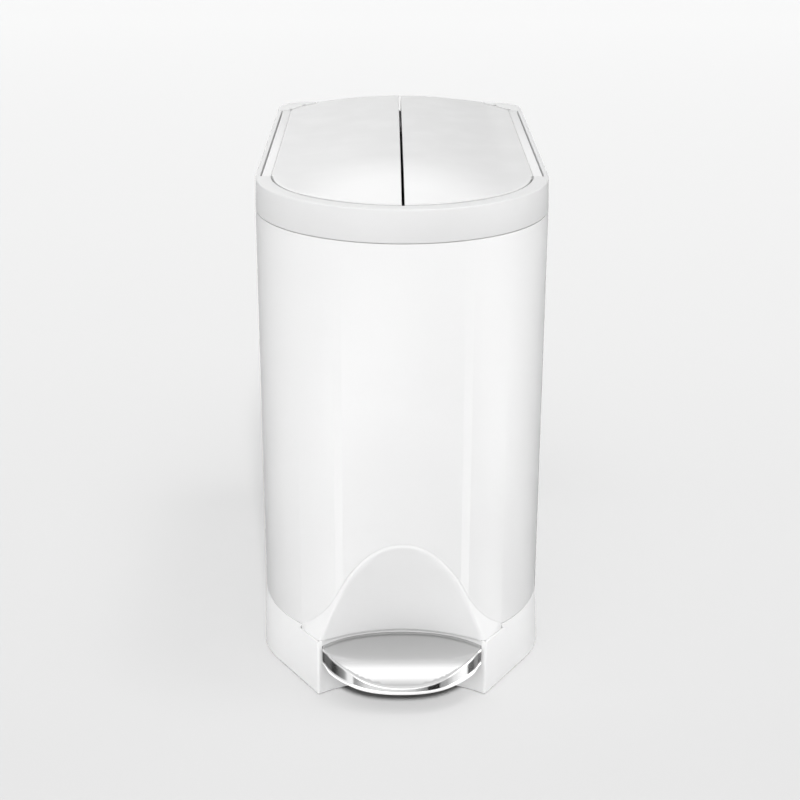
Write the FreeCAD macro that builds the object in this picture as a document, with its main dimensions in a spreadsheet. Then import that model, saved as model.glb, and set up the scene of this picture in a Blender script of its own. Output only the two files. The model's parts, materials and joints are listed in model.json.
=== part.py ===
import FreeCAD, Part
import Sketcher
import math
import os

V = FreeCAD.Vector

# Pedal bin with two lid wings.
# Every plan dimension is given about the centre of the front half cylinder
# (the "plan centre"), which sits at Y = plan_y in the part's own frame.
# +Z is up, -Y is the front (pedal side), +X is to the right seen from above
# with the front towards the reader.  Millimetres.

doc = FreeCAD.newDocument("PedalBin")

# ---------------------------------------------------------------- dimensions
CELLS = [
    ("plan_y", -68.55, "Y of the plan centre in the part's frame"),
    ("body_rad", 88.0, "outer radius of the front half cylinder"),
    ("back_y", 237.0, "outer back face"),
    ("corner_rad", 22.0, "outer rear corner radius"),
    ("steel_thk", 0.8, "painted steel sheet"),
    ("steel_low", 41.2, "lower edge of the steel"),
    ("steel_high", 292.0, "upper edge of the steel"),
    ("rim_low", 292.4, "lower edge of the rim band"),
    ("rim_high", 311.5, "top of the rim"),
    ("rim_wall", 3.2, "wall of the rim band"),
    ("rim_top_thk", 2.4, "top web of the raised front rim"),
    ("rim_inner_rad", 78.5, "inner radius of the raised front rim"),
    ("rim_end_y", -6.2, "rear ends of the raised front rim"),
    ("ring_front_y", 202.4, "front faces of the rear corner blocks"),
    ("ledge_low", 298.0, "underside of the ledge below the wings"),
    ("ledge_thk", 2.3, "ledge thickness"),
    ("ledge_rad", 77.0, "inner radius of the ledge"),
    ("ledge_back_y", 196.5, "rear edge of the ledge opening"),
    ("skirt_low", 280.0, "lower edge of the rim skirt"),
    ("base_low", 1.0, "lower edge of the base moulding"),
    ("base_high", 40.8, "upper edge of the base moulding"),
    ("base_front_high", 37.4, "upper edge of the base at the pedal bay"),
    ("base_wall", 2.5, "wall of the base moulding"),
    ("base_flare", 1.6, "flare of the base foot"),
    ("deck_low", 38.3, "underside of the deck"),
    ("bay_half", 51.7, "half width of the pedal bay at its corners"),
    ("bay_corner_y", -79.4, "Y of the bay corners"),
    ("bay_rad", 88.4, "radius of the hollow bay wall"),
    ("bay_mid_y", -62.7, "Y of the bay wall on the centre line"),
    ("bucket_rad", 75.5, "inner bucket, radius at its top"),
    ("bucket_back", 192.0, "inner bucket, rear face at its top"),
    ("bucket_low", 40.9, "inner bucket, underside"),
    ("bucket_high", 295.0, "inner bucket, top"),
    ("bucket_thk", 1.6, "inner bucket, wall"),
    ("cover_y", 195.2, "front face of the mechanism cover"),
    ("cover_thk", 1.8, "mechanism cover thickness"),
    ("axle_rad", 3.5, "pedal axle radius"),
    ("axle_y", 4.5, "pedal axle Y"),
    ("axle_z", 13.0, "pedal axle Z"),
    ("axle_half", 32.0, "half length of the pedal axle"),
    ("bush_bore", 3.56, "bore radius of the lever bushes"),
    ("bush_rad", 4.7, "outer radius of the lever bushes"),
    ("pedal_half", 48.3, "half width of the pedal"),
    ("pedal_curve", 45.76, "radius of the pedal top about X"),
    ("pedal_thk", 1.2, "pedal sheet"),
    ("rod_x", 70.1, "lift rod centre X"),
    ("rod_y", 205.0, "lift rod centre Y"),
    ("rod_rad", 3.0, "lift rod radius"),
    ("rod_bore", 3.07, "rod bore radius in its guides"),
    ("lift_low", 16.7, "underside of the lift crossbar"),
    ("lift_high", 21.8, "top of the lift crossbar"),
    ("hinge_x", 80.75, "wing hinge axis X"),
    ("hinge_z", 309.05, "wing hinge axis Z"),
    ("hinge_rad", 2.45, "half height of the hinge strip"),
    ("strip_out", 83.7, "outer face of the hinge strip"),
    ("strip_edge", 0.4, "rounding of the strip's outer edges"),
    ("crank_rad", 12.0, "crank pin distance from the hinge axis"),
    ("crank_deg", 40.0, "crank angle below level at rest, degrees"),
    ("crank_pin_rad", 1.9, "crank pin radius"),
    ("hinge_pin_rad", 1.5, "hinge pin radius"),
    ("hinge_bore", 1.56, "hinge pin bore in the wings"),
    ("wing_gap", 0.8, "half of the slit between the wings"),
    ("wing_rad", 77.3, "front radius of the wings"),
    ("wing_low", 306.0, "lower edge of the wing skins"),
    ("wing_thk", 1.6, "wing skin thickness"),
    ("corner_hollow", 3.72, "radius of the hollow in the wings' rear corners"),
    ("crown", 4.85, "crown height of the lid above the rim"),
    ("crown_half", 64.2, "half width of the crowned area"),
    ("crown_run", 112.0, "length over which the crown rises"),
]
sheet = doc.addObject("Spreadsheet::Sheet", "Sizes")
for row, (name, value, note) in enumerate(CELLS, start=1):
    sheet.set("A%d" % row, name)
    sheet.set("B%d" % row, repr(value))
    sheet.set("C%d" % row, note)
    sheet.setAlias("B%d" % row, name)
doc.recompute()
D = {name: float(sheet.get(name)) for name, _v, _n in CELLS}
PY = D["plan_y"]
NODES = []          # (label, object) in hand-in order


def S(name):
    return "Sizes." + name


# ------------------------------------------------------------------- helpers
def line(p, q):
    return ("L", p, q)


def arc(c, r, a0, a1):
    """Counter-clockwise arc, degrees."""
    return ("A", c, r, a0, a1)


def circle(c, r):
    return ("C", c, r)


def spline(pts):
    return ("S", pts)


def plane_of(body, role):
    for f in body.Origin.OriginFeatures:
        if f.Role == role:
            return f
    raise RuntimeError(role)


def add_sketch(body, role, segs, name, lift=None, dims=()):
    """Sketch on one origin plane of its own body; lift is an expression for
    the offset along the plane's normal; dims are (geometry index, kind,
    expression) bound to the sheet."""
    sk = body.newObject("Sketcher::SketchObject", name)
    sk.AttachmentSupport = [(plane_of(body, role), "")]
    sk.MapMode = "FlatFace"
    if lift is not None:
        sk.setExpression("AttachmentOffset.Base.z", lift)
    ends = []
    for s in segs:
        if s[0] == "L":
            i = sk.addGeometry(Part.LineSegment(V(s[1][0], s[1][1], 0), V(s[2][0], s[2][1], 0)), False)
            ends.append((i, (s[1][0], s[1][1]), (s[2][0], s[2][1])))
        elif s[0] == "A":
            c, r, a0, a1 = s[1:]
            t0, t1 = math.radians(a0), math.radians(a1)
            if t1 < t0:
                t1 += 2 * math.pi
            i = sk.addGeometry(Part.ArcOfCircle(Part.Circle(V(c[0], c[1], 0), V(0, 0, 1), r), t0, t1), False)
            ends.append((i, (c[0] + r * math.cos(t0), c[1] + r * math.sin(t0)),
                         (c[0] + r * math.cos(t1), c[1] + r * math.sin(t1))))
        elif s[0] == "C":
            i = sk.addGeometry(Part.Circle(V(s[1][0], s[1][1], 0), V(0, 0, 1), s[2]), False)
        elif s[0] == "S":
            b = Part.BSplineCurve()
            b.interpolate([V(p[0], p[1], 0) for p in s[1]])
            i = sk.addGeometry(b, False)
            ends.append((i, s[1][0], s[1][-1]))
    # neighbouring ends share a point
    free = [(i, 1, p) for i, p, q in ends] + [(i, 2, q) for i, p, q in ends]
    used = set()
    for a in range(len(free)):
        if a in used:
            continue
        for b in range(a + 1, len(free)):
            if b in used or free[a][0] == free[b][0]:
                continue
            if math.hypot(free[a][2][0] - free[b][2][0], free[a][2][1] - free[b][2][1]) < 1e-6:
                sk.addConstraint(Sketcher.Constraint("Coincident", free[a][0], free[a][1], free[b][0], free[b][1]))
                used.add(a)
                used.add(b)
                break
    for idx, kind, expr in dims:
        g = sk.Geometry[idx]
        if kind == "Radius":
            k = sk.addConstraint(Sketcher.Constraint("Radius", idx, g.Radius))
            sk.setExpression("Constraints[%d]" % k, expr)
    return sk


def pad(body, sk, length, reverse=False, mid=False, name="Pad"):
    p = body.newObject("PartDesign::Pad", name)
    p.Profile = sk
    p.setExpression("Length", length)
    p.Reversed = reverse
    if mid:
        p.Midplane = True
    body.Tip = p
    doc.recompute()
    return p


def pocket(body, sk, length, reverse=False, mid=False, name="Pocket"):
    """Pocket that must remove material; turned round if it removes none."""
    before = body.Shape.Volume
    p = body.newObject("PartDesign::Pocket", name)
    p.Profile = sk
    p.setExpression("Length", length)
    p.Reversed = reverse
    if mid:
        p.Midplane = True
    body.Tip = p
    doc.recompute()
    if abs(body.Shape.Volume - before) < 1e-3 and not mid:
        p.Reversed = not reverse
        doc.recompute()
    if body.Shape.Volume > before - 1e-3:
        raise RuntimeError("%s removes nothing from %s" % (name, body.Label))
    return p


def new_body(label, z=None, rot=None):
    b = doc.addObject("PartDesign::Body", label)
    b.Label = label
    b.setExpression("Placement.Base.y", S("plan_y"))
    if rot is not None:
        b.Placement = FreeCAD.Placement(V(0, PY, 0), rot)
        b.setExpression("Placement.Base.y", S("plan_y"))
    return b


def outline(rad, back, rc, front_y=0.0):
    """Front half circle, straight sides, rounded rear corners."""
    return [arc((0, 0), rad, 180, 360),
            line((rad, 0), (rad, back - rc)),
            arc((rad - rc, back - rc), rc, 0, 90),
            line((rad - rc, back), (-rad + rc, back)),
            arc((-rad + rc, back - rc), rc, 90, 180),
            line((-rad, back - rc), (-rad, 0))]


def off_outline(off):
    return outline(D["body_rad"] - off, D["back_y"] - off, max(D["corner_rad"] - off, 0.5))


def ring_body(label, off0, off1, low, high):
    """Tubular wall between two offset outlines."""
    b = new_body(label)
    sk = add_sketch(b, "XY_Plane", off_outline(off0) + off_outline(off1), label + "_plan", lift=low,
                    dims=[(0, "Radius", "Sizes.body_rad - %g" % off0), (6, "Radius", "Sizes.body_rad - %g" % off1)])
    pad(b, sk, "%s - %s" % (high, low))
    return b


def box(label, x0, x1, y0, y1, z0, z1):
    """Part box, given about the plan centre; sizes may be expressions."""
    o = doc.addObject("Part::Box", label)
    e = lambda v: v if isinstance(v, str) else repr(float(v))
    o.setExpression("Length", "(%s) - (%s)" % (e(x1), e(x0)))
    o.setExpression("Width", "(%s) - (%s)" % (e(y1), e(y0)))
    o.setExpression("Height", "(%s) - (%s)" % (e(z1), e(z0)))
    o.setExpression("Placement.Base.x", e(x0))
    o.setExpression("Placement.Base.y", "Sizes.plan_y + (%s)" % e(y0))
    o.setExpression("Placement.Base.z", e(z0))
    return o


def cyl(label, axis, c, r, length):
    """Part cylinder starting at c (about the plan centre) along +axis."""
    e = lambda v: v if isinstance(v, str) else repr(float(v))
    o = doc.addObject("Part::Cylinder", label)
    rot = {"Z": FreeCAD.Rotation(), "X": FreeCAD.Rotation(V(0, 1, 0), 90),
           "Y": FreeCAD.Rotation(V(1, 0, 0), -90)}[axis]
    o.Placement = FreeCAD.Placement(V(0, 0, 0), rot)
    o.setExpression("Radius", e(r))
    o.setExpression("Height", e(length))
    o.setExpression("Placement.Base.x", e(c[0]))
    o.setExpression("Placement.Base.y", "Sizes.plan_y + (%s)" % e(c[1]))
    o.setExpression("Placement.Base.z", e(c[2]))
    return o


def cut(label, base, tool):
    o = doc.addObject("Part::Cut", label)
    o.Base, o.Tool = base, tool
    return o


def common(label, base, tool):
    o = doc.addObject("Part::Common", label)
    o.Base, o.Tool = base, tool
    return o


def fuse(label, shapes):
    o = doc.addObject("Part::MultiFuse", label)
    o.Shapes = shapes
    o.Refine = False
    return o


def group(label, shapes):
    o = doc.addObject("Part::Compound", label)
    o.Links = shapes
    return o


def node(label, obj):
    obj.Label = label
    NODES.append((label, obj))
    return obj


def feature(label, shape):
    """Shape made with Part's own functions, about the plan centre."""
    o = doc.addObject("Part::Feature", label)
    o.Shape = shape
    o.Placement = FreeCAD.Placement(V(0, PY, 0), FreeCAD.Rotation())
    return o


# ---------------------------------------------------------------- base plan
# Foot plan: straight facets run from the bay corners back to the sides.
FX, FY = -79.6, -35.5                       # rear end of the left facet, foot level
CX, CY = -D["bay_half"], D["bay_corner_y"]
FL = math.hypot(FX - CX, FY - CY)
FD = ((FX - CX) / FL, (FY - CY) / FL)       # along the facet, towards the rear
FN = (FD[1], -FD[0])                        # into the base
BAY_C = (0.0, D["bay_mid_y"] - D["bay_rad"])


def line_circle(p, d, c, r, pick):
    px, py = p[0] - c[0], p[1] - c[1]
    b = px * d[0] + py * d[1]
    disc = b * b - (px * px + py * py - r * r)
    t = sorted([-b - math.sqrt(disc), -b + math.sqrt(disc)])[pick]
    return (p[0] + t * d[0], p[1] + t * d[1])


def ang(c, p):
    return math.degrees(math.atan2(p[1] - c[1], p[0] - c[0]))


def base_plan(level, off):
    """Plan of the base moulding: level 0 at the foot, 1 where the steel sits."""
    f0 = (CX + FN[0] * off, CY + FN[1] * off)
    rb = D["bay_rad"] + off
    c0 = line_circle(f0, FD, BAY_C, rb, 0)
    if abs(c0[1] - CY) > 12:
        c0 = line_circle(f0, FD, BAY_C, rb, 1)
    if level:
        side = D["body_rad"] - off
        back = D["back_y"] - off
        rc = D["corner_rad"] - off
        ac, ar, sy = (0.0, 0.0), side, 0.0
        f1 = line_circle(f0, FD, ac, ar, 0)
        # the nearer crossing, just behind the bay corner
        alt = line_circle(f0, FD, ac, ar, 1)
        f1 = f1 if f1[1] < alt[1] else alt
    else:
        side = D["body_rad"] + D["base_flare"] - off
        back = D["back_y"] + D["base_flare"] - off
        rc = D["corner_rad"] + D["base_flare"] - off
        ar = 60.7 - off
        ac = (-(D["body_rad"] + D["base_flare"]) + 60.7, -2.1)
        sy = ac[1]
        f1 = (ac[0] - FN[0] * ar, ac[1] - FN[1] * ar)
        f1 = (f1[0], f1[1])
        # put the arc's end exactly on the facet
        t = (f1[0] - f0[0]) * FD[0] + (f1[1] - f0[1]) * FD[1]
        f1 = (f0[0] + FD[0] * t, f0[1] + FD[1] * t)
        ar = math.hypot(f1[0] - ac[0], f1[1] - ac[1])
        side = -(ac[0] - ar)
    a_side, a_f = 180.0, ang(ac, f1) % 360
    m = lambda p: (-p[0], p[1])
    acr = m(ac)
    bl = ang(BAY_C, c0) % 360
    br = 180 - bl
    segs = [line((-side, back - rc), (-side, sy)),
            arc(ac, ar, a_side, a_f),
            line(f1, c0),
            arc(BAY_C, rb, br, bl),
            line(m(c0), m(f1)),
            arc(acr, ar, (180 - a_f) % 360, 360.0),
            line((side, sy), (side, back - rc)),
            arc((side - rc, back - rc), rc, 0, 90),
            line((side - rc, back), (-side + rc, back)),
            arc((-side + rc, back - rc), rc, 90, 180)]
    return segs


def seg_ends(s):
    if s[0] == "L":
        return s[1], s[2]
    c, r, a0, a1 = s[1:]
    return ((c[0] + r * math.cos(math.radians(a0)), c[1] + r * math.sin(math.radians(a0))),
            (c[0] + r * math.cos(math.radians(a1)), c[1] + r * math.sin(math.radians(a1))))


def wire_of(segs, z):
    """Closed wire from plan segments, in order."""
    edges = []
    for s in segs:
        if s[0] == "L":
            edges.append(Part.LineSegment(V(s[1][0], s[1][1], z), V(s[2][0], s[2][1], z)).toShape())
        else:
            c, r, a0, a1 = s[1:]
            if a1 < a0:
                a1 += 360
            edges.append(Part.Arc(*[V(c[0] + r * math.cos(math.radians(a)), c[1] + r * math.sin(math.radians(a)), z)
                                    for a in (a0, 0.5 * (a0 + a1), a1)]).toShape())
    return Part.Wire(Part.__sortEdges__(edges))


# --------------------------------------------------------------------- base
base = new_body("base")
sk0 = add_sketch(base, "XY_Plane", base_plan(0, 0.0), "base_foot", lift=S("base_low"))
sk1 = add_sketch(base, "XY_Plane", base_plan(1, 0.0), "base_top", lift=S("base_high"))
lo = base.newObject("PartDesign::AdditiveLoft", "base_shell")
lo.Profile = sk0
lo.Sections = [sk1]
lo.Ruled = True
base.Tip = lo
doc.recompute()
v0 = base.Shape.Volume
wall = D["base_wall"]
sk2 = add_sketch(base, "XY_Plane", base_plan(0, wall), "base_foot_in", lift="Sizes.base_low - 0.01")
sk3 = add_sketch(base, "XY_Plane", base_plan(1, wall), "base_top_in", lift=S("deck_low"))
ls = base.newObject("PartDesign::SubtractiveLoft", "base_hollow")
ls.Profile = sk2
ls.Sections = [sk3]
ls.Ruled = True
base.Tip = ls
doc.recompute()
if base.Shape.Volume > v0 * 0.6:
    raise RuntimeError("base is not hollow")
# lowered top at the pedal bay
stp, sth = -58.4, 62.3
sk4 = add_sketch(base, "XY_Plane", [line((-sth, -95), (sth, -95)), line((sth, -95), (sth, stp)),
                                    line((sth, stp), (-sth, stp)), line((-sth, stp), (-sth, -95))],
                 "bay_step", lift="Sizes.base_high + 1")
pocket(base, sk4, "Sizes.base_high + 1 - Sizes.base_front_high", name="bay_lowered")
# opening of the bay wall: wide and shallow for the pedal, narrow and deep for the lever
hw = 49.1
for nm, half, z0, z1 in (("slot_wide", hw, 24.0, 45.0), ("slot_deep", 27.0, 4.6, 30.0)):
    if nm == "slot_wide":
        ya, yb_ = -79.6, -57.5
    else:
        ya, yb_ = -75.0, -57.5
    s = add_sketch(base, "XZ_Plane", [line((-half, z0), (half, z0)), line((half, z0), (half, z1)),
                                      line((half, z1), (-half, z1)), line((-half, z1), (-half, z0))],
                   nm, lift=repr(57.5))
    pocket(base, s, repr(abs(ya) - 57.5), reverse=True, name=nm + "_cut")
# holes through the deck: lift rods' bushes, damper rod
holes = [circle((sx * D["rod_x"], D["rod_y"]), 6.0) for sx in (-1, 1)] + [circle((0, 212.0), 4.2)]
s = add_sketch(base, "XY_Plane", holes, "deck_holes", lift="Sizes.base_high + 1")
pocket(base, s, "Sizes.base_high + 1 - Sizes.deck_low + 0.5", name="deck_drill")
# upstand that locates the steel
up_o = outline(D["body_rad"] - 1.1, D["back_y"] - 1.1, D["corner_rad"] - 1.1)
up_i = outline(D["body_rad"] - 3.3, D["back_y"] - 3.3, D["corner_rad"] - 3.3)
s = add_sketch(base, "XY_Plane", up_o + up_i, "upstand_plan", lift="Sizes.base_high - 0.5")
pad(base, s, "9.0", name="upstand")
s = add_sketch(base, "XY_Plane", [line((-sth, -95), (sth, -95)), line((sth, -95), (sth, stp)),
                                  line((sth, stp), (-sth, stp)), line((-sth, stp), (-sth, -95))],
               "upstand_gap", lift="Sizes.base_high + 20")
pocket(base, s, "20.6", name="upstand_open")
# lugs for the pedal axle
lug = []
for sx in (-1, 1):
    x0, x1 = sx * 24.0, sx * 29.0
    xa, xb = min(x0, x1), max(x0, x1)
    ya, yz = D["axle_y"] - 9.0, D["axle_y"] + 9.0
    lug += [line((xa, ya), (xb, ya)), line((xb, ya), (xb, yz)), line((xb, yz), (xa, yz)), line((xa, yz), (xa, ya))]
s = add_sketch(base, "XY_Plane", lug, "lug_plan", lift="Sizes.axle_z - 7")
pad(base, s, "Sizes.deck_low + 0.5 - Sizes.axle_z + 7", name="axle_lugs")
s = add_sketch(base, "YZ_Plane", [circle((D["axle_y"], D["axle_z"]), D["axle_rad"] + 0.02)], "lug_bore_plan",
               lift=None)
pocket(base, s, "70", mid=True, name="lug_bore")
# screw posts for the bottom cover and sockets for the feet
POSTS = [(-58.0, -20.0), (58.0, -20.0), (-60.0, 190.0), (60.0, 190.0)]
s = add_sketch(base, "XY_Plane", [circle(p, 4.0) for p in POSTS], "post_plan", lift="3.6")
pad(base, s, "Sizes.deck_low + 0.5 - 3.6", name="cover_posts")
s = add_sketch(base, "XY_Plane", [circle(p, 1.5) for p in POSTS], "post_bore_plan", lift="3.5")
pocket(base, s, "14", reverse=True, name="post_bores")
node("base", base)

# ------------------------------------------------------------- bottom cover
bc = new_body("bottom_cover")
pts = [(-43, -57.2), (-56, -52), (-74, -26), (-84.3, 0), (-84.3, 213), (-66, 231.5), (66, 231.5), (84.3, 213), (84.3, 0),
       (74, -26), (56, -52), (43, -57.2)]
s = add_sketch(bc, "XY_Plane", [line(pts[i], pts[(i + 1) % len(pts)]) for i in range(len(pts))]
               + [circle(p, 1.75) for p in POSTS], "bottom_cover_plan", lift="1.6")
pad(bc, s, "1.8")
node("bottom_cover", bc)

# --------------------------------------------------------------- steel body
steel = ring_body("steel_body", 0.0, D["steel_thk"], S("steel_low"), S("steel_high"))
BELL = [(0.0, 108.2), (12.2, 105.4), (19.8, 99.9), (27.5, 91.3), (34.4, 80.9), (39.1, 71.2), (44.4, 61.3),
        (50.2, 53.3), (56.8, 46.2), (62.2, 41.9)]


def bell(grow):
    """Bell shaped outline in the X-Z plane, widened by grow."""
    pts = []
    n = len(BELL)
    for i, (x, z) in enumerate(BELL):
        a = BELL[max(i - 1, 0)]
        b = BELL[min(i + 1, n - 1)]
        if i == 0:
            nx, nz = 0.0, 1.0
        else:
            dx, dz = b[0] - a[0], b[1] - a[1]
            L = math.hypot(dx, dz)
            nx, nz = -dz / L, dx / L
        pts.append((x + grow * nx, z + grow * nz))
    return [(-x, z) for x, z in reversed(pts[1:])] + pts


bp = bell(0.0)
low = 36.0
s = add_sketch(steel, "XZ_Plane", [spline(bp), line(bp[-1], (bp[-1][0], low)), line((bp[-1][0], low), (bp[0][0], low)),
                                   line((bp[0][0], low), bp[0])], "arch_opening")
pocket(steel, s, "Sizes.body_rad + 10", reverse=True, name="arch_cut")
node("steel_body", steel)

# ---------------------------------------------------------------- arch panel
# Plan sections of the moulded panel: (level, steel edge x, crest x, crest y, depth on the centre line)
ARCH = [
    (34.0, 66.0, 51.8, -79.4, -61.2),
    (37.4, 65.0, 50.9, -78.8, -62.7),
    (48.4, 54.9, 45.9, -79.0, -66.7),
    (59.0, 46.0, 42.0, -79.8, -70.5),
    (73.0, 38.3, 36.3, -81.5, -75.5),
    (83.6, 32.7, 31.0, -83.4, -79.4),
    (94.2, 25.0, 23.0, -85.4, -83.5),
    (101.2, 18.2, 15.2, -87.0, -86.0),
    (104.6, 13.4, 8.4, -87.9, -87.4),
    (109.2, 12.4, 7.4, -87.55, -87.5),
]
R0 = D["body_rad"] - 0.35


def three_arc(p, m, q):
    return Part.Arc(V(*p), V(*m), V(*q)).toShape()


def arch_solid(shift, back):
    """Loft of plan sections: front face as seen, back face flat; shift moves it inwards."""
    wires = []
    for z, xs, xc, yc, dm in ARCH:
        ys = -math.sqrt(max(R0 * R0 - xs * xs, 0.0))
        yc2 = yc + shift
        p = [(-xs, ys + shift, z), (-xc, yc2, z), (0, dm + shift, z), (xc, yc2, z), (xs, ys + shift, z)]
        e = [Part.LineSegment(V(*p[0]), V(*p[1])).toShape(),
             three_arc(p[1], p[2], p[3]),
             Part.LineSegment(V(*p[3]), V(*p[4])).toShape(),
             Part.LineSegment(V(*p[4]), V(xs, back, z)).toShape(),
             Part.LineSegment(V(xs, back, z), V(-xs, back, z)).toShape(),
             Part.LineSegment(V(-xs, back, z), V(*p[0])).toShape()]
        wires.append(Part.Wire(e))
    return Part.makeLoft(wires, True, True)


front = arch_solid(0.0, -20.0)
inner = arch_solid(2.4, -19.0)


def bell_prism(grow, zlow, y0, y1):
    pts = bell(grow)
    b = Part.BSplineCurve()
    b.interpolate([V(x, y0, z) for x, z in pts])
    e = [b.toShape(), Part.LineSegment(V(pts[-1][0], y0, pts[-1][1]), V(pts[-1][0], y0, zlow)).toShape(),
         Part.LineSegment(V(pts[-1][0], y0, zlow), V(pts[0][0], y0, zlow)).toShape(),
         Part.LineSegment(V(pts[0][0], y0, zlow), V(pts[0][0], y0, pts[0][1])).toShape()]
    return Part.Face(Part.Wire(e)).extrude(V(0, y1 - y0, 0))


bell_in = bell_prism(-0.3, 36.7, -100.0, -30.0)
panel = front.cut(inner).common(bell_in)
for x0 in (-80.0, 48.5):
    panel = panel.cut(Part.makeBox(31.5, 80, 7.7, V(x0, -110, 30.0)))
# return behind the lower edge, down to just above the pedal
BC = -62.7 - 88.4
ret = Part.makeCylinder(90.6, 6.0, V(0, BC, 33.5)).cut(Part.makeCylinder(88.9, 8.0, V(0, BC, 32.5)))
ret = ret.common(Part.makeBox(96.4, 60, 4.2, V(-48.2, -90, 33.6)))
ret = ret.cut(Part.makeCylinder(45.76 + 0.5, 160.0, V(-80.0, -64.68, 35.2 - 45.76), V(1, 0, 0)))
panel = panel.fuse(ret)
# flange behind the steel
Rf = D["body_rad"] - D["steel_thk"] - 0.15
ringo = Part.makeCylinder(Rf, 90, V(0, 0, 41.6)).cut(Part.makeCylinder(Rf - 2.0, 92, V(0, 0, 40.6)))
flange = ringo.common(bell_prism(4.0, 41.6, -100.0, -30.0)).cut(bell_prism(-1.2, 30.0, -101.0, -29.0))
# keep it off the upstand of the base
flange = flange.cut(Part.makeBox(200, 100, 12.0, V(-100, -100, 40.0)))
arch_shape = panel.fuse(flange)
arch_shape = arch_shape.removeSplitter()
sol = sorted(arch_shape.Solids, key=lambda q: -q.Volume)
arch_panel = feature("arch_panel", sol[0])
node("arch_panel", arch_panel)

# ------------------------------------------------------------------ top rim
rim = new_body("top_rim")
w = D["rim_wall"]
s = add_sketch(rim, "XY_Plane", off_outline(0.0) + off_outline(w), "band_plan", lift=S("rim_low"),
               dims=[(0, "Radius", S("body_rad")), (6, "Radius", "Sizes.body_rad - Sizes.rim_wall")])
pad(rim, s, "Sizes.rim_high - Sizes.rim_low", name="band")
# skirt inside the steel
s = add_sketch(rim, "XY_Plane", off_outline(1.1) + off_outline(w + 0.4), "skirt_plan", lift=S("skirt_low"))
pad(rim, s, "Sizes.rim_low + 1 - Sizes.skirt_low", name="skirt")
# ledge and rear deck below the wings
lr, lb = D["ledge_rad"], D["ledge_back_y"]
s = add_sketch(rim, "XY_Plane", off_outline(w - 0.2) + outline(lr, lb, 6.0), "ledge_plan", lift=S("ledge_low"))
pad(rim, s, S("ledge_thk"), name="ledge")


def half_ring(r_out, r_in, y_end):
    """Front half ring closed by a straight cut at y_end (negative)."""
    ao = math.degrees(math.asin(y_end / r_out))
    ai = math.degrees(math.asin(y_end / r_in))
    po = (r_out * math.cos(math.radians(ao)), y_end)
    pi = (r_in * math.cos(math.radians(ai)), y_end)
    return [arc((0, 0), r_out, 180 - ao, 360 + ao), line(po, pi),
            arc((0, 0), r_in, 180 - ai, 360 + ai), line((-pi[0], y_end), (-po[0], y_end))]


ri = D["rim_inner_rad"]
s = add_sketch(rim, "XY_Plane", half_ring(D["body_rad"] - w + 0.3, ri, D["rim_end_y"]), "front_top_plan",
               lift="Sizes.rim_high - Sizes.rim_top_thk")
pad(rim, s, S("rim_top_thk"), name="front_top")
s = add_sketch(rim, "XY_Plane", half_ring(ri + 2.0, ri, D["rim_end_y"]), "front_inner_plan",
               lift="Sizes.ledge_low + Sizes.ledge_thk - 0.3")
pad(rim, s, "Sizes.rim_high - Sizes.ledge_low - Sizes.ledge_thk + 0.3", name="front_inner")
# hinge lugs at the ends of the raised rim
seg = []
for sx in (-1, 1):
    xa, xb = sorted((sx * 78.9, sx * 85.3))
    seg += [line((xa, -13.5), (xb, -13.5)), line((xb, -13.5), (xb, -6.2)), line((xb, -6.2), (xa, -6.2)), line((xa, -6.2), (xa, -13.5))]
s = add_sketch(rim, "XY_Plane", seg, "lug_plan", lift="Sizes.ledge_low + Sizes.ledge_thk - 0.3")
pad(rim, s, "Sizes.rim_high - Sizes.ledge_low - Sizes.ledge_thk + 0.3", name="hinge_lugs")
# rear corner blocks; their inner boundary follows the wings' rear corners
yb = D["back_y"]
rcn = [(78.75, D["ring_front_y"]), (78.4, 206.2), (75.4, 213.6), (69.6, 223.4), (65.0, 229.6), (61.1, 233.6)]
seg = []
for sx in (-1, 1):
    m = [(sx * x, y) for x, y in rcn]
    rc_ = D["corner_rad"] - 1.5
    cx_, cy_ = sx * (D["body_rad"] - D["corner_rad"]), yb - D["corner_rad"]
    aq = arc((cx_, cy_), rc_, 0, 90) if sx > 0 else arc((cx_, cy_), rc_, 90, 180)
    seg += [spline(m), line(m[-1], (sx * 61.1, yb - 1.5)), line((sx * 61.1, yb - 1.5), (cx_, cy_ + rc_)), aq,
            line((cx_ + sx * rc_, cy_), (cx_ + sx * rc_, D["ring_front_y"])),
            line((cx_ + sx * rc_, D["ring_front_y"]), m[0])]
s = add_sketch(rim, "XY_Plane", seg, "corner_plan", lift="Sizes.ledge_low + Sizes.ledge_thk - 0.3")
pad(rim, s, "Sizes.rim_high - Sizes.ledge_low - Sizes.ledge_thk + 0.3", name="corner_blocks")
# three round reliefs in each corner block, along its edge with the wing
seg = []
for sx in (-1, 1):
    seg += [circle((sx * 78.75, 206.35), 1.2), circle((sx * 69.95, 223.75), 1.2), circle((sx * 61.75, 233.85), 1.2)]
s = add_sketch(rim, "XY_Plane", seg, "relief_plan", lift="Sizes.rim_high + 1")
pocket(rim, s, "7.0", name="corner_reliefs")
# each relief runs back from the edge as a short slot
for k, (d1, d2) in enumerate(((1.3, 0.8), (2.6, 1.3))):
    seg = []
    for sx in (-1, 1):
        seg += [circle((sx * 78.75, 206.35 + d1), 1.2), circle((sx * 69.95, 223.75 + d1), 1.2), circle((sx * 61.75, 233.85 + d2), 1.2)]
    s = add_sketch(rim, "XY_Plane", seg, "relief_plan_%d" % k, lift="Sizes.rim_high + 1")
    pocket(rim, s, "7.0", name="corner_reliefs_%d" % k)
# back wall lowered under the wings
s = add_sketch(rim, "XY_Plane", [line((-60.7, 230), (60.7, 230)), line((60.7, 230), (60.7, 245)), line((60.7, 245), (-60.7, 245)),
                                 line((-60.7, 245), (-60.7, 230))], "back_low_plan", lift="Sizes.rim_high + 1")
pocket(rim, s, "Sizes.rim_high + 1 - Sizes.wing_low + 0.5", name="back_lowered")
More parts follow.
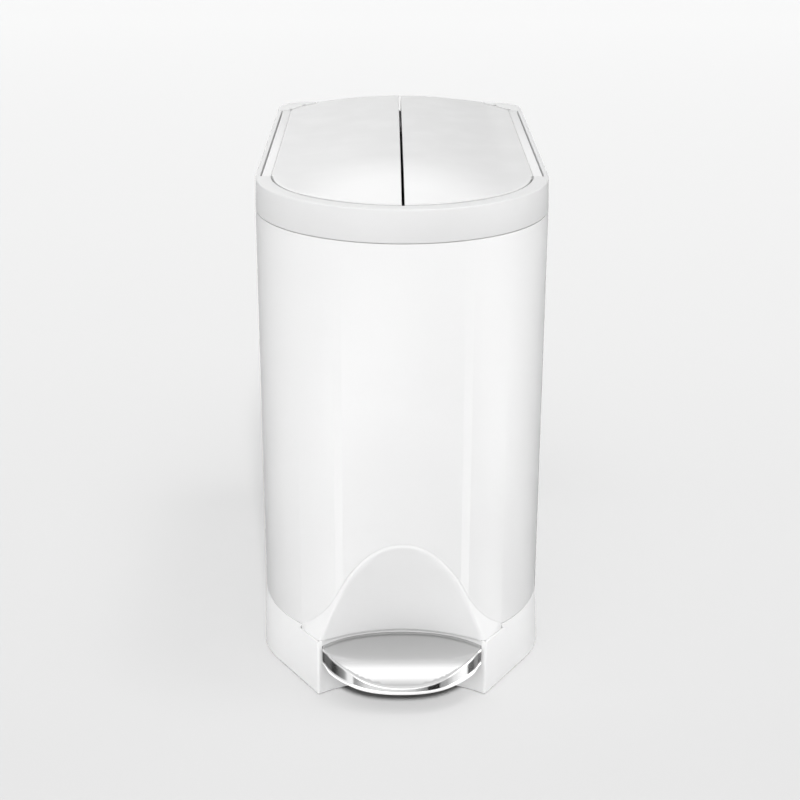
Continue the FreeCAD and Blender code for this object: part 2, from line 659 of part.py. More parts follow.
# slots in the rear deck for the yoke heads and cranks
seg = []
for sx in (-1, 1):
    xa, xb = sorted((sx * 63.5, sx * 77.6))
    seg += [line((xa, 197.6), (xb, 197.6)), line((xb, 197.6), (xb, 211.6)), line((xb, 211.6), (xa, 211.6)), line((xa, 211.6), (xa, 197.6))]
s = add_sketch(rim, "XY_Plane", seg, "deck_slot_plan", lift="Sizes.ledge_low + Sizes.ledge_thk + 0.2")
pocket(rim, s, "Sizes.ledge_thk + 0.4", name="deck_slots")
# bores for the hinge pins, front and rear
hx, hz = D["hinge_x"], D["hinge_z"]
s = add_sketch(rim, "XZ_Plane", [circle((-hx, hz), D["hinge_pin_rad"] + 0.01), circle((hx, hz), D["hinge_pin_rad"] + 0.01)], "front_pin_plan", lift="6.0")
pocket(rim, s, "6.2", reverse=True, name="front_pin_bores")
s = add_sketch(rim, "XZ_Plane", [circle((-hx, hz), D["hinge_pin_rad"] + 0.01), circle((hx, hz), D["hinge_pin_rad"] + 0.01)], "rear_pin_plan", lift="-202.0")
pocket(rim, s, "6.7", name="rear_pin_bores")
node("top_rim", rim)

# -------------------------------------------------------------- inner bucket
bk = new_body("inner_bucket")


def bucket_plan(r, fy, back, rc):
    """Front arc through (-r,0), (0,-fy), (r,0)."""
    R = (r * r + fy * fy) / (2 * fy)
    c = (0.0, R - fy)
    a = math.degrees(math.asin(min(r / R, 1.0)))
    a0 = math.degrees(math.atan2(0 - c[1], -r)) % 360
    a1 = math.degrees(math.atan2(0 - c[1], r)) % 360
    if a1 < a0:
        a1 += 360
    return [arc(c, R, a0, a1), line((r, 0), (r, back - rc)), arc((r - rc, back - rc), rc, 0, 90),
            line((r - rc, back), (-r + rc, back)), arc((-r + rc, back - rc), rc, 90, 180), line((-r, back - rc), (-r, 0))]


br, bb_, bt = D["bucket_rad"], D["bucket_back"], D["bucket_thk"]
s0 = add_sketch(bk, "XY_Plane", bucket_plan(br - 6, 54.0, bb_ - 6, 16.0), "bucket_floor", lift=S("bucket_low"))
s1 = add_sketch(bk, "XY_Plane", bucket_plan(br - 1.5, br - 1.5, bb_ - 1.5, 18.0), "bucket_mouth", lift=S("bucket_high"))
lo = bk.newObject("PartDesign::AdditiveLoft", "bucket_shell")
lo.Profile = s0
lo.Sections = [s1]
lo.Ruled = True
bk.Tip = lo
s2 = add_sketch(bk, "XY_Plane", bucket_plan(br - 6 - bt, 54.0 - bt, bb_ - 6 - bt, 16.0 - bt), "bucket_floor_in", lift="Sizes.bucket_low + 2")
s3 = add_sketch(bk, "XY_Plane", bucket_plan(br - 1.5 - bt, br - 1.5 - bt, bb_ - 1.5 - bt, 18.0 - bt), "bucket_mouth_in", lift="Sizes.bucket_high + 0.01")
ls = bk.newObject("PartDesign::SubtractiveLoft", "bucket_hollow")
ls.Profile = s2
ls.Sections = [s3]
ls.Ruled = True
bk.Tip = ls
doc.recompute()
s = add_sketch(bk, "XY_Plane", bucket_plan(br, br, bb_, 19.0) + bucket_plan(br - 2.0, br - 2.0, bb_ - 2.0, 17.5), "bucket_lip_plan",
               lift="Sizes.bucket_high - 4")
pad(bk, s, "4", name="bucket_lip")
node("inner_bucket", bk)

# ----------------------------------------------------------- mechanism cover
mc = new_body("mechanism_cover")
s = add_sketch(mc, "XZ_Plane", [line((-84.3, 50.4), (84.3, 50.4)), line((84.3, 50.4), (84.3, 297.5)), line((84.3, 297.5), (-84.3, 297.5)),
                                line((-84.3, 297.5), (-84.3, 50.4))], "cover_plan", lift="-(Sizes.cover_y + Sizes.cover_thk)")
pad(mc, s, S("cover_thk"), name="cover_plate")
s = add_sketch(mc, "XZ_Plane", [line((-81.5, 40.8), (81.5, 40.8)), line((81.5, 40.8), (81.5, 51)), line((81.5, 51), (-81.5, 51)),
                                line((-81.5, 51), (-81.5, 40.8))], "cover_foot_plan", lift="-(Sizes.cover_y + Sizes.cover_thk)")
pad(mc, s, S("cover_thk"), name="cover_foot")
node("mechanism_cover", mc)

# upper guides of the lift rods
gu = []
for sx, nm in ((-1, "l"), (1, "r")):
    xa, xb = sorted((sx * 62.0, sx * 79.5))
    g0 = box("guide_block_" + nm, xa, xb, "Sizes.cover_y + Sizes.cover_thk", "Sizes.rod_y + 6.5", 262.0, 274.0)
    g1 = cyl("guide_bore_" + nm, "Z", (repr(sx) + " * Sizes.rod_x", S("rod_y"), 260.0), S("rod_bore"), 16.0)
    gu.append(cut("guide_" + nm, g0, g1))
node("rod_guides", group("rod_guides", gu))
# bushes of the lift rods in the deck
bu = []
for sx, nm in ((-1, "l"), (1, "r")):
    b0 = cyl("bush_o_" + nm, "Z", (repr(sx) + " * Sizes.rod_x", S("rod_y"), "Sizes.deck_low"), 5.95, "Sizes.base_high - Sizes.deck_low")
    b2 = cyl("bush_f_" + nm, "Z", (repr(sx) + " * Sizes.rod_x", S("rod_y"), "Sizes.base_high + 0.05"), 7.4, 1.6)
    b1 = cyl("bush_i_" + nm, "Z", (repr(sx) + " * Sizes.rod_x", S("rod_y"), "Sizes.deck_low - 1"), S("rod_bore"), 10.0)
    b3 = cyl("bush_n_" + nm, "Z", (repr(sx) + " * Sizes.rod_x", S("rod_y"), "Sizes.base_high - 0.2"), 5.95, 1.0)
    bu.append(cut("deck_bush_" + nm, fuse("bush_b_" + nm, [b0, b2, b3]), b1))
node("deck_bushes", group("deck_bushes", bu))

# damper hung on the back of the mechanism cover
dy = 212.0
d0 = cyl("damper_o", "Z", (0, dy, 56.0), 11.0, 100.0)
d1 = cyl("damper_i", "Z", (0, dy, 60.0), 9.0, 92.0)
d2 = cyl("damper_b", "Z", (0, dy, 54.0), 2.57, 10.0)
d3 = box("damper_arm_low", -6.0, 6.0, "Sizes.cover_y + Sizes.cover_thk", 202.5, 64.0, 70.0)
d4 = box("damper_arm_top", -6.0, 6.0, "Sizes.cover_y + Sizes.cover_thk", 202.5, 142.0, 148.0)
dc = cut("damper_cylinder", fuse("damper_sleeve", [d0, d3, d4]), fuse("damper_inside", [d1, d2]))
node("damper_cylinder", dc)

# pedal axle, fixed in the base lugs
node("pedal_axle", cyl("pedal_axle", "X", ("-Sizes.axle_half", S("axle_y"), S("axle_z")), S("axle_rad"), "2 * Sizes.axle_half"))
# rubber stop that the lever rests against, under the deck
node("lever_stop", box("lever_stop", -9.0, 9.0, -50.0, -38.0, 22.3, S("deck_low")))

# feet
ft = []
for i, (x, y) in enumerate([(-68.0, -14.0), (68.0, -14.0), (-68.0, 205.0), (68.0, 205.0)]):
    ft.append(cyl("foot_%d" % i, "Z", (x, y, 0.0), 8.0, 1.6))
node("feet", group("feet", ft))
# screws of the bottom cover
sc = []
for i, (x, y) in enumerate(POSTS):
    a = cyl("cs_%d" % i, "Z", (x, y, 1.2), 1.45, 13.0)
    h_ = cyl("ch_%d" % i, "Z", (x, y, 0.6), 3.0, 1.0)
    sc.append(fuse("cover_screw_%d" % i, [a, h_]))
node("cover_screws", group("cover_screws", sc))
# rubber buffers for the wings on the ledge
bf = []
for i, (x, y) in enumerate([(-28.0, -68.5), (28.0, -68.5), (-40.0, 228.0), (40.0, 228.0)]):
    bf.append(cyl("buffer_%d" % i, "Z", (x, y, "Sizes.ledge_low + Sizes.ledge_thk"), 3.0, 5.3))
node("lid_buffers", group("lid_buffers", bf))
# hinge pins
pf = []
for sx, nm in ((-1, "l"), (1, "r")):
    pf.append(cyl("fpin_" + nm, "Y", (repr(sx) + " * Sizes.hinge_x", -12.0, S("hinge_z")), S("hinge_pin_rad"), 15.0))
node("front_hinge_pins", group("front_hinge_pins", pf))
pr = []
for sx, nm in ((-1, "l"), (1, "r")):
    pr.append(cyl("rpin_" + nm, "Y", (repr(sx) + " * Sizes.hinge_x", 193.5, S("hinge_z")), S("hinge_pin_rad"), 15.0))
node("rear_hinge_pins", group("rear_hinge_pins", pr))

# --------------------------------------------------------------------- pedal
top_z = 35.2
yc_, zc_ = -64.68, top_z - D["pedal_curve"]
# outer edge of the flange, seen from above, from the right end to the middle
half = [(48.3, -78.2), (47.5, -80.5), (45.5, -83.5), (41.4, -87.7), (35.8, -91.9), (28.8, -96.1), (20.6, -99.1), (10.7, -100.9)]
# lower edge of the flange, seen from the side
LIP = [(-115.0, 9.3), (-100.9, 13.4), (-97.9, 14.4), (-95.1, 15.3), (-91.0, 16.0), (-86.3, 17.1), (-82.1, 17.8), (-79.5, 19.4),
       (-77.0, 21.4)]


def d_plan(off):
    pts = []
    full = [(-x, y) for x, y in half] + [(0.0, -101.5)] + list(reversed(half))
    n = len(full)
    for i in range(n):
        a, b = full[max(i - 1, 0)], full[min(i + 1, n - 1)]
        dx, dy_ = b[0] - a[0], b[1] - a[1]
        L = math.hypot(dx, dy_)
        pts.append((full[i][0] - dy_ / L * off, full[i][1] + dx / L * off))
    return pts


def d_segs(off, rear):
    p = d_plan(off)
    x = D["pedal_half"] - off
    p[0] = (-x, p[0][1])
    p[-1] = (x, p[-1][1])
    return [spline(p), line(p[-1], (x, rear)), line((x, rear), (-x, rear)), line((-x, rear), p[0])]


pb = new_body("pedal_blank")
s = add_sketch(pb, "XY_Plane", d_segs(0.0, -56.0), "pedal_plan", lift="5")
pad(pb, s, "40")
pi_ = new_body("pedal_core")
s = add_sketch(pi_, "XY_Plane", d_segs(D["pedal_thk"], -20.0), "pedal_core_plan", lift="1")
pad(pi_, s, "50")


def xcyl(label, y, z, r):
    return cyl(label, "X", (-80.0, y, z), r, 160.0)


c_top = xcyl("pedal_top", repr(yc_), repr(zc_), S("pedal_curve"))
c_in = xcyl("pedal_under", repr(yc_), repr(zc_), "Sizes.pedal_curve - Sizes.pedal_thk")
lp = [V(-80.0, y, z) for y, z in LIP] + [V(-80.0, -50.0, 21.4), V(-80.0, -50.0, 2.0), V(-80.0, -115.0, 2.0)]
lip_clear = feature("pedal_lip", Part.Face(Part.makePolygon(lp + lp[:1])).extrude(V(160.0, 0, 0)))
# the flange stops short of the bay wall
clr = doc.addObject("Part::Box", "bay_clear_block")
clr.Length, clr.Width, clr.Height = 140, 60, 31.6
clr.Placement = FreeCAD.Placement(V(-70, PY - 90, 0), FreeCAD.Rotation())
clc = cyl("bay_clear_round", "Z", (0.0, "Sizes.bay_mid_y - Sizes.bay_rad", -5.0), "Sizes.bay_rad - 0.7", 60.0)
bay_clear = cut("bay_clear", clr, clc)
p1 = common("pedal_p1", pb, c_top)
p2 = common("pedal_p2", pi_, c_in)
p3 = cut("pedal_p3", p1, p2)
p4 = cut("pedal_p4", p3, lip_clear)
pedal_plate = cut("pedal_plate", p4, bay_clear)
node("pedal_plate", pedal_plate)

# bracket between the pedal plate and the lever
k0 = box("bracket_block", -22.0, 22.0, -90.0, -60.0, 22.5, 40.0)
k1 = xcyl("bracket_top", repr(yc_), repr(zc_), "Sizes.pedal_curve - Sizes.pedal_thk - 0.02")
k2 = [cyl("bracket_hole_%d" % i, "Z", (0.0, y, 20.0), 2.02, 20.0) for i, y in enumerate((-82.0, -67.0))]
pedal_bracket = cut("pedal_bracket", common("bracket_blank", k0, k1), fuse("bracket_holes", k2))
node("pedal_bracket", pedal_bracket)

# lever: pressed channel, open below
lv = new_body("pedal_lever")
prof = [(-90, 14.0), (-90, 22.4), (-60, 22.4), (-30, 21.0), (10, 19.6), (60, 18.6), (211, 14.0), (211, 7.0), (60, 6.6), (10, 6.4), (-30, 8.2), (-60, 12.2)]
s = add_sketch(lv, "YZ_Plane", [line(prof[i], prof[(i + 1) % len(prof)]) for i in range(len(prof))], "lever_side")
pad(lv, s, "36", mid=True, name="lever_blank")
ipf = [(-92, 0), (-92, 20.8), (-60, 20.8), (-30, 19.4), (10, 18.0), (60, 17.0), (213, 12.4), (213, 0)]
s = add_sketch(lv, "YZ_Plane", [line(ipf[i], ipf[(i + 1) % len(ipf)]) for i in range(len(ipf))], "lever_inside")
pocket(lv, s, "32.8", mid=True, name="lever_hollow")
s = add_sketch(lv, "YZ_Plane", [circle((D["axle_y"], D["axle_z"]), D["bush_rad"] + 0.02)], "lever_bore_plan")
pocket(lv, s, "80", mid=True, name="lever_bore")
s = add_sketch(lv, "XY_Plane", [circle((0, -82.0), 2.02), circle((0, -67.0), 2.02)], "lever_rivet_plan", lift="26")
pocket(lv, s, "20", name="lever_rivet_holes")
node("pedal_lever", lv)
# bushes that carry the lever on the axle
lb_ = []
for sx, nm in ((-1, "l"), (1, "r")):
    x0 = 14.4 if sx > 0 else -22.4
    o = cyl("lb_o_" + nm, "X", (x0, S("axle_y"), S("axle_z")), S("bush_rad"), 8.0)
    xf = 18.3 if sx > 0 else -22.4
    f_ = cyl("lb_f_" + nm, "X", (xf, S("axle_y"), S("axle_z")), 6.6, 4.1)
    i_ = cyl("lb_i_" + nm, "X", (x0 - 1, S("axle_y"), S("axle_z")), S("bush_bore"), 10.0)
    lb_.append(cut("lever_bush_" + nm, fuse("lb_u_" + nm, [o, f_]), i_))
node("lever_bushes", group("lever_bushes", lb_))
# rivets through lever and bracket
rv = []
for i, y in enumerate((-82.0, -67.0)):
    top = zc_ + math.sqrt((D["pedal_curve"] - D["pedal_thk"]) ** 2 - (y - 2.0 - yc_) ** 2) - 0.15
    a = cyl("rv_s_%d" % i, "Z", (0.0, y, 20.0), 2.0, top - 20.0)
    h_ = cyl("rv_h_%d" % i, "Z", (0.0, y, 18.6), 3.6, 2.15)
    rv.append(fuse("rivet_%d" % i, [a, h_]))
node("pedal_rivets", group("pedal_rivets", rv))
# nylon pad on the lever's rear tip
t0 = cyl("tip_round", "X", (-14.0, S("rod_y"), 11.35), 5.0, 28.0)
t1 = box("tip_cut", -15.0, 15.0, 195.0, 217.0, 0.0, 14.35)
t2 = box("tip_foot", -14.0, 14.0, 201.5, 210.5, 14.36, 15.4)
node("lever_tip_pad", fuse("lever_tip_pad", [cut("tip_top", t0, t1), t2]))

# ---------------------------------------------------------------- lift frame
lx = 76.0
cb0 = box("crossbar_block", -lx, lx, 201.0, 211.0, S("lift_low"), S("lift_high"))
cbh = [cyl("crossbar_h_%s" % n_, "Z", (repr(sx) + " * Sizes.rod_x", S("rod_y"), 15.0), "Sizes.rod_rad + 0.02", 12.0) for sx, n_ in ((-1, "l"), (1, "r"))]
cb1 = box("crossbar_tab", -5.0, 5.0, 210.0, 217.5, S("lift_low"), S("lift_high"))
cb2 = cyl("crossbar_dh", "Z", (0.0, dy, 15.0), 2.52, 12.0)
node("lift_crossbar", cut("lift_crossbar", fuse("crossbar_b", [cb0, cb1]), fuse("crossbar_holes", cbh + [cb2])))
for sx, nm in ((-1, "left"), (1, "right")):
    node("lift_rod_" + nm, cyl("lift_rod_" + nm, "Z", (repr(sx) + " * Sizes.rod_x", S("rod_y"), "Sizes.lift_low + 0.3"), S("rod_rad"), 295.0 - D["lift_low"] - 0.3))
ca = math.radians(D["crank_deg"])
pinx = D["hinge_x"] - D["crank_rad"] * math.cos(ca)
pinz = D["hinge_z"] - D["crank_rad"] * math.sin(ca)
for sx, nm in ((-1, "left"), (1, "right")):
    x0, x1 = sorted((sx * 64.8, sx * 73.2))
    h0 = box("yoke_block_" + nm, x0, x1, 202.8, 207.2, 284.0, pinz + 4.2)
    xs0, xs1 = sorted((sx * 66.45, sx * 75.0))
    h1 = box("yoke_slot_" + nm, xs0, xs1, 202.0, 208.0, pinz - 2.25, pinz + 2.25)
    h2 = cyl("yoke_bore_" + nm, "Z", (repr(sx) + " * Sizes.rod_x", S("rod_y"), 280.0), "Sizes.rod_rad + 0.02", 15.2)
    h3 = cyl("yoke_sleeve_" + nm, "Z", (repr(sx) + " * Sizes.rod_x", S("rod_y"), 284.0), 4.6, 12.7)
    node("yoke_" + nm, cut("yoke_" + nm, fuse("yoke_u_" + nm, [h0, h3]), fuse("yoke_c_" + nm, [h1, h2])))
# damper rod with its piston
r0 = cyl("damper_rod_s", "Z", (0.0, dy, "Sizes.lift_low + 0.3"), 2.5, 83.0)
r1 = cyl("damper_piston", "Z", (0.0, dy, 100.0), 8.8, 6.0)
node("damper_rod", fuse("damper_rod", [r0, r1]))

# --------------------------------------------------------------------- wings
xh = D["hinge_x"]
WC = [(77.15, D["ring_front_y"] - 1.6), (77.0, 206.0), (74.2, 213.2), (68.6, 222.7), (63.4, 228.9), (58.8, 232.9)]


def wing_plan(sx, off, gap=None, z=0.0):
    """Plan of one wing as an ordered list of edges at Z=0 (off inwards)."""
    g = (D["wing_gap"] if gap is None else gap) + off
    R = D["wing_rad"] - off
    xo = 78.2 - off                     # where the hinge strip begins
    ye = D["rim_end_y"] + 1.3 + off     # front end of the strip side
    # front arc from the slit to near the strip
    yf = -math.sqrt(R * R - g * g)
    xe = min(xo, R * math.cos(math.asin(ye / R)))
    yr = D["back_y"] - 0.3 - off
    wc = [(x - off * 0.82, y - off * 0.55) for x, y in WC]
    wc[0] = (xo, D["ring_front_y"] - 1.0 - off * 0.2)
    wc[1] = (xo - 0.35, 205.4 - off * 0.4)
    wc[-1] = (58.8 - off * 0.5, yr)
    mir = lambda p: V(sx * p[0], p[1], z)
    pm = (R * math.sin(math.radians(0.5 * (math.degrees(math.asin(g / R)) + math.degrees(math.acos(-ye / R))))),
          -R * math.cos(math.radians(0.5 * (math.degrees(math.asin(g / R)) + math.degrees(math.acos(-ye / R))))))
    pe = (R * math.sin(math.acos(-ye / R)), ye)
    e = [Part.Arc(mir((g, yf)), mir(pm), mir(pe)).toShape()]
    if abs(pe[0] - xo) > 1e-6:
        e.append(Part.LineSegment(mir(pe), mir((xo, ye))).toShape())
    e.append(Part.LineSegment(mir((xo, ye)), mir(wc[0])).toShape())
    b = Part.BSplineCurve()
    b.interpolate([mir(p) for p in wc])
    e.append(b.toShape())
    e.append(Part.LineSegment(mir(wc[-1]), mir((g, yr))).toShape())
    e.append(Part.LineSegment(mir((g, yr)), mir((g, yf))).toShape())
    return Part.Wire(e)


def crown(x, y):
    """Height of the lid above the rim."""
    q = 1.0 - (x / D["crown_half"]) ** 2
    g = max(q, 0.0) ** 1.35
    t = (y + 82.0) / D["crown_run"]
    f = math.sin(0.5 * math.pi * min(max(t, 0.0), 1.0))
    return D["crown"] * g * f


def crown_face(drop):
    xs = [-84 + 8.4 * i for i in range(21)]
    ys = [-84.0, -70.0, -56.0, -42.0, -28.0, -14.0, 0.0, 14.0, 28.0, 42.0, 70.0, 110.0, 150.0, 190.0, 215.0, 242.0]
    grid = [[V(x, y, D["rim_high"] - drop + crown(x, y)) for y in ys] for x in xs]
    b = Part.BSplineSurface()
    b.interpolate(grid)
    return b.toShape()


def under(drop, depth=30.0):
    """Solid below the crowned surface."""
    return crown_face(drop).extrude(V(0, 0, -depth))


top_solid = under(0.0)
low_solid = under(D["wing_thk"])
for sx, nm in ((-1, "left"), (1, "right")):
    outer = Part.Face(wing_plan(sx, 0.0, z=D["wing_low"])).extrude(V(0, 0, 20))
    innr = Part.Face(wing_plan(sx, D["wing_thk"], z=D["wing_low"] - 1)).extrude(V(0, 0, 20))
    skin = outer.common(top_solid).cut(innr.common(low_solid))
    # solid rear corner, hollowed about the hinge axis so that it clears the rim when the wing turns
    xk0, xk1 = sorted((sx * 75.3, sx * 78.3))
    corner = Part.makeBox(xk1 - xk0, 9.5, 20.0, V(xk0, 199.6, D["wing_low"] + 1.5)).common(outer).common(top_solid)
    skin = skin.fuse(corner)
    at = lambda y: V(sx * D["hinge_x"], y, D["hinge_z"])
    skin = skin.cut(Part.makeCylinder(D["corner_hollow"], 3.9, at(201.3), V(0, 1, 0)))
    skin = skin.cut(Part.makeCone(D["corner_hollow"], 4.8, 4.3, at(205.2), V(0, 1, 0)))
    skin = skin.cut(Part.makeCone(4.8, 6.6, 3.7, at(209.5), V(0, 1, 0)))
    skin = skin.removeSplitter()
    sk_ = sorted(skin.Solids, key=lambda q: -q.Volume)[0]
    node(nm + "_wing", feature(nm + "_wing", sk_))
    lin = Part.Face(wing_plan(sx, D["wing_thk"] + 0.3, z=D["wing_low"] - 0.1)).extrude(V(0, 0, 1.5))
    xn0, xn1 = sorted((sx * 63.5, sx * 79.0))
    lin = lin.cut(Part.makeBox(xn1 - xn0, 10.0, 4.0, V(xn0, 202.2, D["wing_low"] - 1)))
    node(nm + "_wing_liner", feature(nm + "_wing_liner", lin))
    # hinge strip: flat bar round the hinge axis, its outer edges rounded so that they clear the rim as it turns
    y0, y1 = D["rim_end_y"] + 1.0, D["ring_front_y"] - 1.0
    so, se = D["strip_out"], D["strip_edge"]
    x0, x1 = sorted((sx * 78.25, sx * so))
    x2, x3 = sorted((sx * 78.25, sx * (so - se)))
    st = fuse("strip_u_" + nm, [box("strip_bar_" + nm, x0, x1, y0, y1, "Sizes.hinge_z - Sizes.hinge_rad + Sizes.strip_edge", "Sizes.hinge_z + Sizes.hinge_rad - Sizes.strip_edge"),
                                box("strip_core_" + nm, x2, x3, y0, y1, "Sizes.hinge_z - Sizes.hinge_rad", "Sizes.hinge_z + Sizes.hinge_rad"),
                                cyl("strip_round_a_" + nm, "Y", (repr(sx) + " * (Sizes.strip_out - Sizes.strip_edge)", y0, "Sizes.hinge_z + Sizes.hinge_rad - Sizes.strip_edge"), S("strip_edge"), y1 - y0),
                                cyl("strip_round_b_" + nm, "Y", (repr(sx) + " * (Sizes.strip_out - Sizes.strip_edge)", y0, "Sizes.hinge_z - Sizes.hinge_rad + Sizes.strip_edge"), S("strip_edge"), y1 - y0)])
    bo = fuse("strip_bores_" + nm, [cyl("strip_bf_" + nm, "Y", (repr(sx) + " * Sizes.hinge_x", y0 - 1, S("hinge_z")), S("hinge_bore"), 10.0),
                                    cyl("strip_br_" + nm, "Y", (repr(sx) + " * Sizes.hinge_x", 192.5, S("hinge_z")), S("hinge_bore"), 12.0)])
    node(nm + "_hinge_strip", cut(nm + "_hinge_strip", st, bo))
    # crank below the rear corner of the wing
    xa, xb = sorted((sx * 62.0, sx * 77.6))
    c0 = box("crank_pad_" + nm, xa, xb, 186.0, 202.4, 304.0, 305.85)
    c1 = cyl("crank_boss_" + nm, "Y", (repr(sx * pinx), 198.9, repr(pinz)), 3.2, 3.5)
    c2 = box("crank_web_" + nm, sx * pinx - 3.2, sx * pinx + 3.2, 198.9, 202.4, pinz, 304.5)
    c3 = cyl("crank_hole_" + nm, "Y", (repr(sx * pinx), 197.0, repr(pinz)), "Sizes.crank_pin_rad + 0.02", 8.0)
    node(nm + "_crank", cut(nm + "_crank", fuse("crank_u_" + nm, [c0, c1, c2]), c3))
    node(nm + "_crank_pin", cyl(nm + "_crank_pin", "Y", (repr(sx * pinx), 198.9, repr(pinz)), S("crank_pin_rad"), 8.7))

doc.recompute()

# --------------------------------------------------------------------- check
bad = []
for o in doc.Objects:
    st = list(getattr(o, "State", []))
    if "Invalid" in st or "Error" in st:
        bad.append("%s: %s" % (o.Label, st))
for label, obj in NODES:
    sh = obj.Shape
    if sh.isNull() or not sh.isValid() or not sh.Solids:
        bad.append("%s: bad shape" % label)
    if obj.Label != label:
        bad.append("%s: label is %s" % (label, obj.Label))
if bad:
    raise RuntimeError("; ".join(bad))

os.makedirs("parts", exist_ok=True)
lo_ = [1e9] * 3
hi_ = [-1e9] * 3
for label, obj in NODES:
    bb = obj.Shape.optimalBoundingBox(True, False)
    for k, (a, b) in enumerate(((bb.XMin, bb.XMax), (bb.YMin, bb.YMax), (bb.ZMin, bb.ZMax))):
        lo_[k] = min(lo_[k], a)
        hi_[k] = max(hi_[k], b)
    obj.Shape.exportStep("parts/%s.step" % label)
    print("%-20s solids %2d volume %10.1f  z %.2f..%.2f" % (label, len(obj.Shape.Solids), obj.Shape.Volume, bb.ZMin, bb.ZMax))
print("nodes", len(NODES), "low", [round(v, 3) for v in lo_], "high", [round(v, 3) for v in hi_])
print("Y centre offset", round(0.5 * (lo_[1] + hi_[1]), 4))
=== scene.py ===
import json
import math

import bpy
import bmesh
import numpy as np
from mathutils import Matrix, Vector
from mathutils.geometry import delaunay_2d_cdt

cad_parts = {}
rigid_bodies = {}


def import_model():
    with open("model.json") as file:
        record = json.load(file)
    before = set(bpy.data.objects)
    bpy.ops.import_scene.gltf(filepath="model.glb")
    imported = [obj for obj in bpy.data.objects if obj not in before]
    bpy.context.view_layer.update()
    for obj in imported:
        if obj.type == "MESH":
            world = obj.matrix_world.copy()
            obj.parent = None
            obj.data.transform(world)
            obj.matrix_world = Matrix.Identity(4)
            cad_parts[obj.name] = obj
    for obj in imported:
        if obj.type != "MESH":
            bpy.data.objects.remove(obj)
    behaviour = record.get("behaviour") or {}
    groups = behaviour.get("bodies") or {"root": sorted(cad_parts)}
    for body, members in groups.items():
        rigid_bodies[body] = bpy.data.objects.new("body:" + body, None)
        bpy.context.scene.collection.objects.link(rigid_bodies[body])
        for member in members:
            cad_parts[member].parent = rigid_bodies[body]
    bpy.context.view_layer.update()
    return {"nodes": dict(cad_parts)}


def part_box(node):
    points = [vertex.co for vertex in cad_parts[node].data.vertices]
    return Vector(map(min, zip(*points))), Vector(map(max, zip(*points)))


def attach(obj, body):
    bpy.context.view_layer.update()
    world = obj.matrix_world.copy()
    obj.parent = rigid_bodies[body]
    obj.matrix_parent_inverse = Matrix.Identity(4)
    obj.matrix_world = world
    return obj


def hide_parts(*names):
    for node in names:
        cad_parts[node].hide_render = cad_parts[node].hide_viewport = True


# Pedal bin with two lid wings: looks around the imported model.
# Lengths below are millimetres about the plan centre (the centre of the
# front half cylinder); P() turns them into the row frame's metres.

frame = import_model()
NODES = frame["nodes"]
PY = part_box("steel_body")[1].y * 1000.0 - 237.0


def P(v):
    v = np.asarray(v, float)
    out = v.copy()
    out[..., 1] += PY
    return out / 1000.0


# ------------------------------------------------------------------ materials
def clear(mat):
    mat.use_nodes = True
    nt = mat.node_tree
    nt.nodes.clear()
    return nt


def link(nt, a, b):
    nt.links.new(a, b)


def noise(nt, co, scale, detail=3.0, rough=0.55, dist=0.0):
    n = nt.nodes.new("ShaderNodeTexNoise")
    n.inputs["Scale"].default_value = scale
    n.inputs["Detail"].default_value = detail
    n.inputs["Roughness"].default_value = rough
    n.inputs["Distortion"].default_value = dist
    link(nt, co, n.inputs["Vector"])
    return n.outputs["Fac"]


def ramp(nt, fac, lo, hi, a, b):
    m = nt.nodes.new("ShaderNodeMapRange")
    m.inputs["From Min"].default_value = lo
    m.inputs["From Max"].default_value = hi
    m.inputs["To Min"].default_value = a
    m.inputs["To Max"].default_value = b
    link(nt, fac, m.inputs["Value"])
    return m.outputs["Result"]


def mapped(nt, scale=(1, 1, 1), rot=(0, 0, 0)):
    tc = nt.nodes.new("ShaderNodeTexCoord")
    mp = nt.nodes.new("ShaderNodeMapping")
    mp.inputs["Scale"].default_value = scale
    mp.inputs["Rotation"].default_value = rot
    link(nt, tc.outputs["Object"], mp.inputs["Vector"])
    return mp.outputs["Vector"]


def tint(nt, fac, a, b):
    m = nt.nodes.new("ShaderNodeMix")
    m.data_type = "RGBA"
    link(nt, fac, m.inputs["Factor"])
    m.inputs[6].default_value = (*a, 1)
    m.inputs[7].default_value = (*b, 1)
    return m.outputs[2]


def bump(nt, fac, strength, dist, prev=None):
    b = nt.nodes.new("ShaderNodeBump")
    b.inputs["Strength"].default_value = strength
    b.inputs["Distance"].default_value = dist
    link(nt, fac, b.inputs["Height"])
    if prev is not None:
        link(nt, prev, b.inputs["Normal"])
    return b.outputs["Normal"]


def principled(nt, **kw):
    out = nt.nodes.new("ShaderNodeOutputMaterial")
    p = nt.nodes.new("ShaderNodeBsdfPrincipled")
    link(nt, p.outputs["BSDF"], out.inputs["Surface"])
    for k, v in kw.items():
        p.inputs[k.replace("_", " ")].default_value = v
    return p


def grey(v, warm=0.0):
    return (v * (1 + warm), v, v * (1 - warm))


def plastic(name, v, rough, grain=900.0, depth=0.00002, strength=0.25, var=0.012, warm=0.0, ior=1.46, cloud=9.0):
    """Moulded plastic: slight tone drift, fine spark-eroded grain, uneven gloss."""
    mat = bpy.data.materials.new(name)
    nt = clear(mat)
    p = principled(nt, IOR=ior)
    co = mapped(nt)
    drift = noise(nt, co, cloud, 2.0)
    link(nt, tint(nt, drift, grey(v * (1 - var), warm), grey(v * (1 + var), warm)), p.inputs["Base Color"])
    fine = noise(nt, co, grain, 2.0)
    soft = noise(nt, co, 38.0, 3.0)
    link(nt, ramp(nt, soft, 0.3, 0.7, rough - 0.03, rough + 0.03), p.inputs["Roughness"])
    link(nt, bump(nt, fine, strength, depth), p.inputs["Normal"])
    return mat


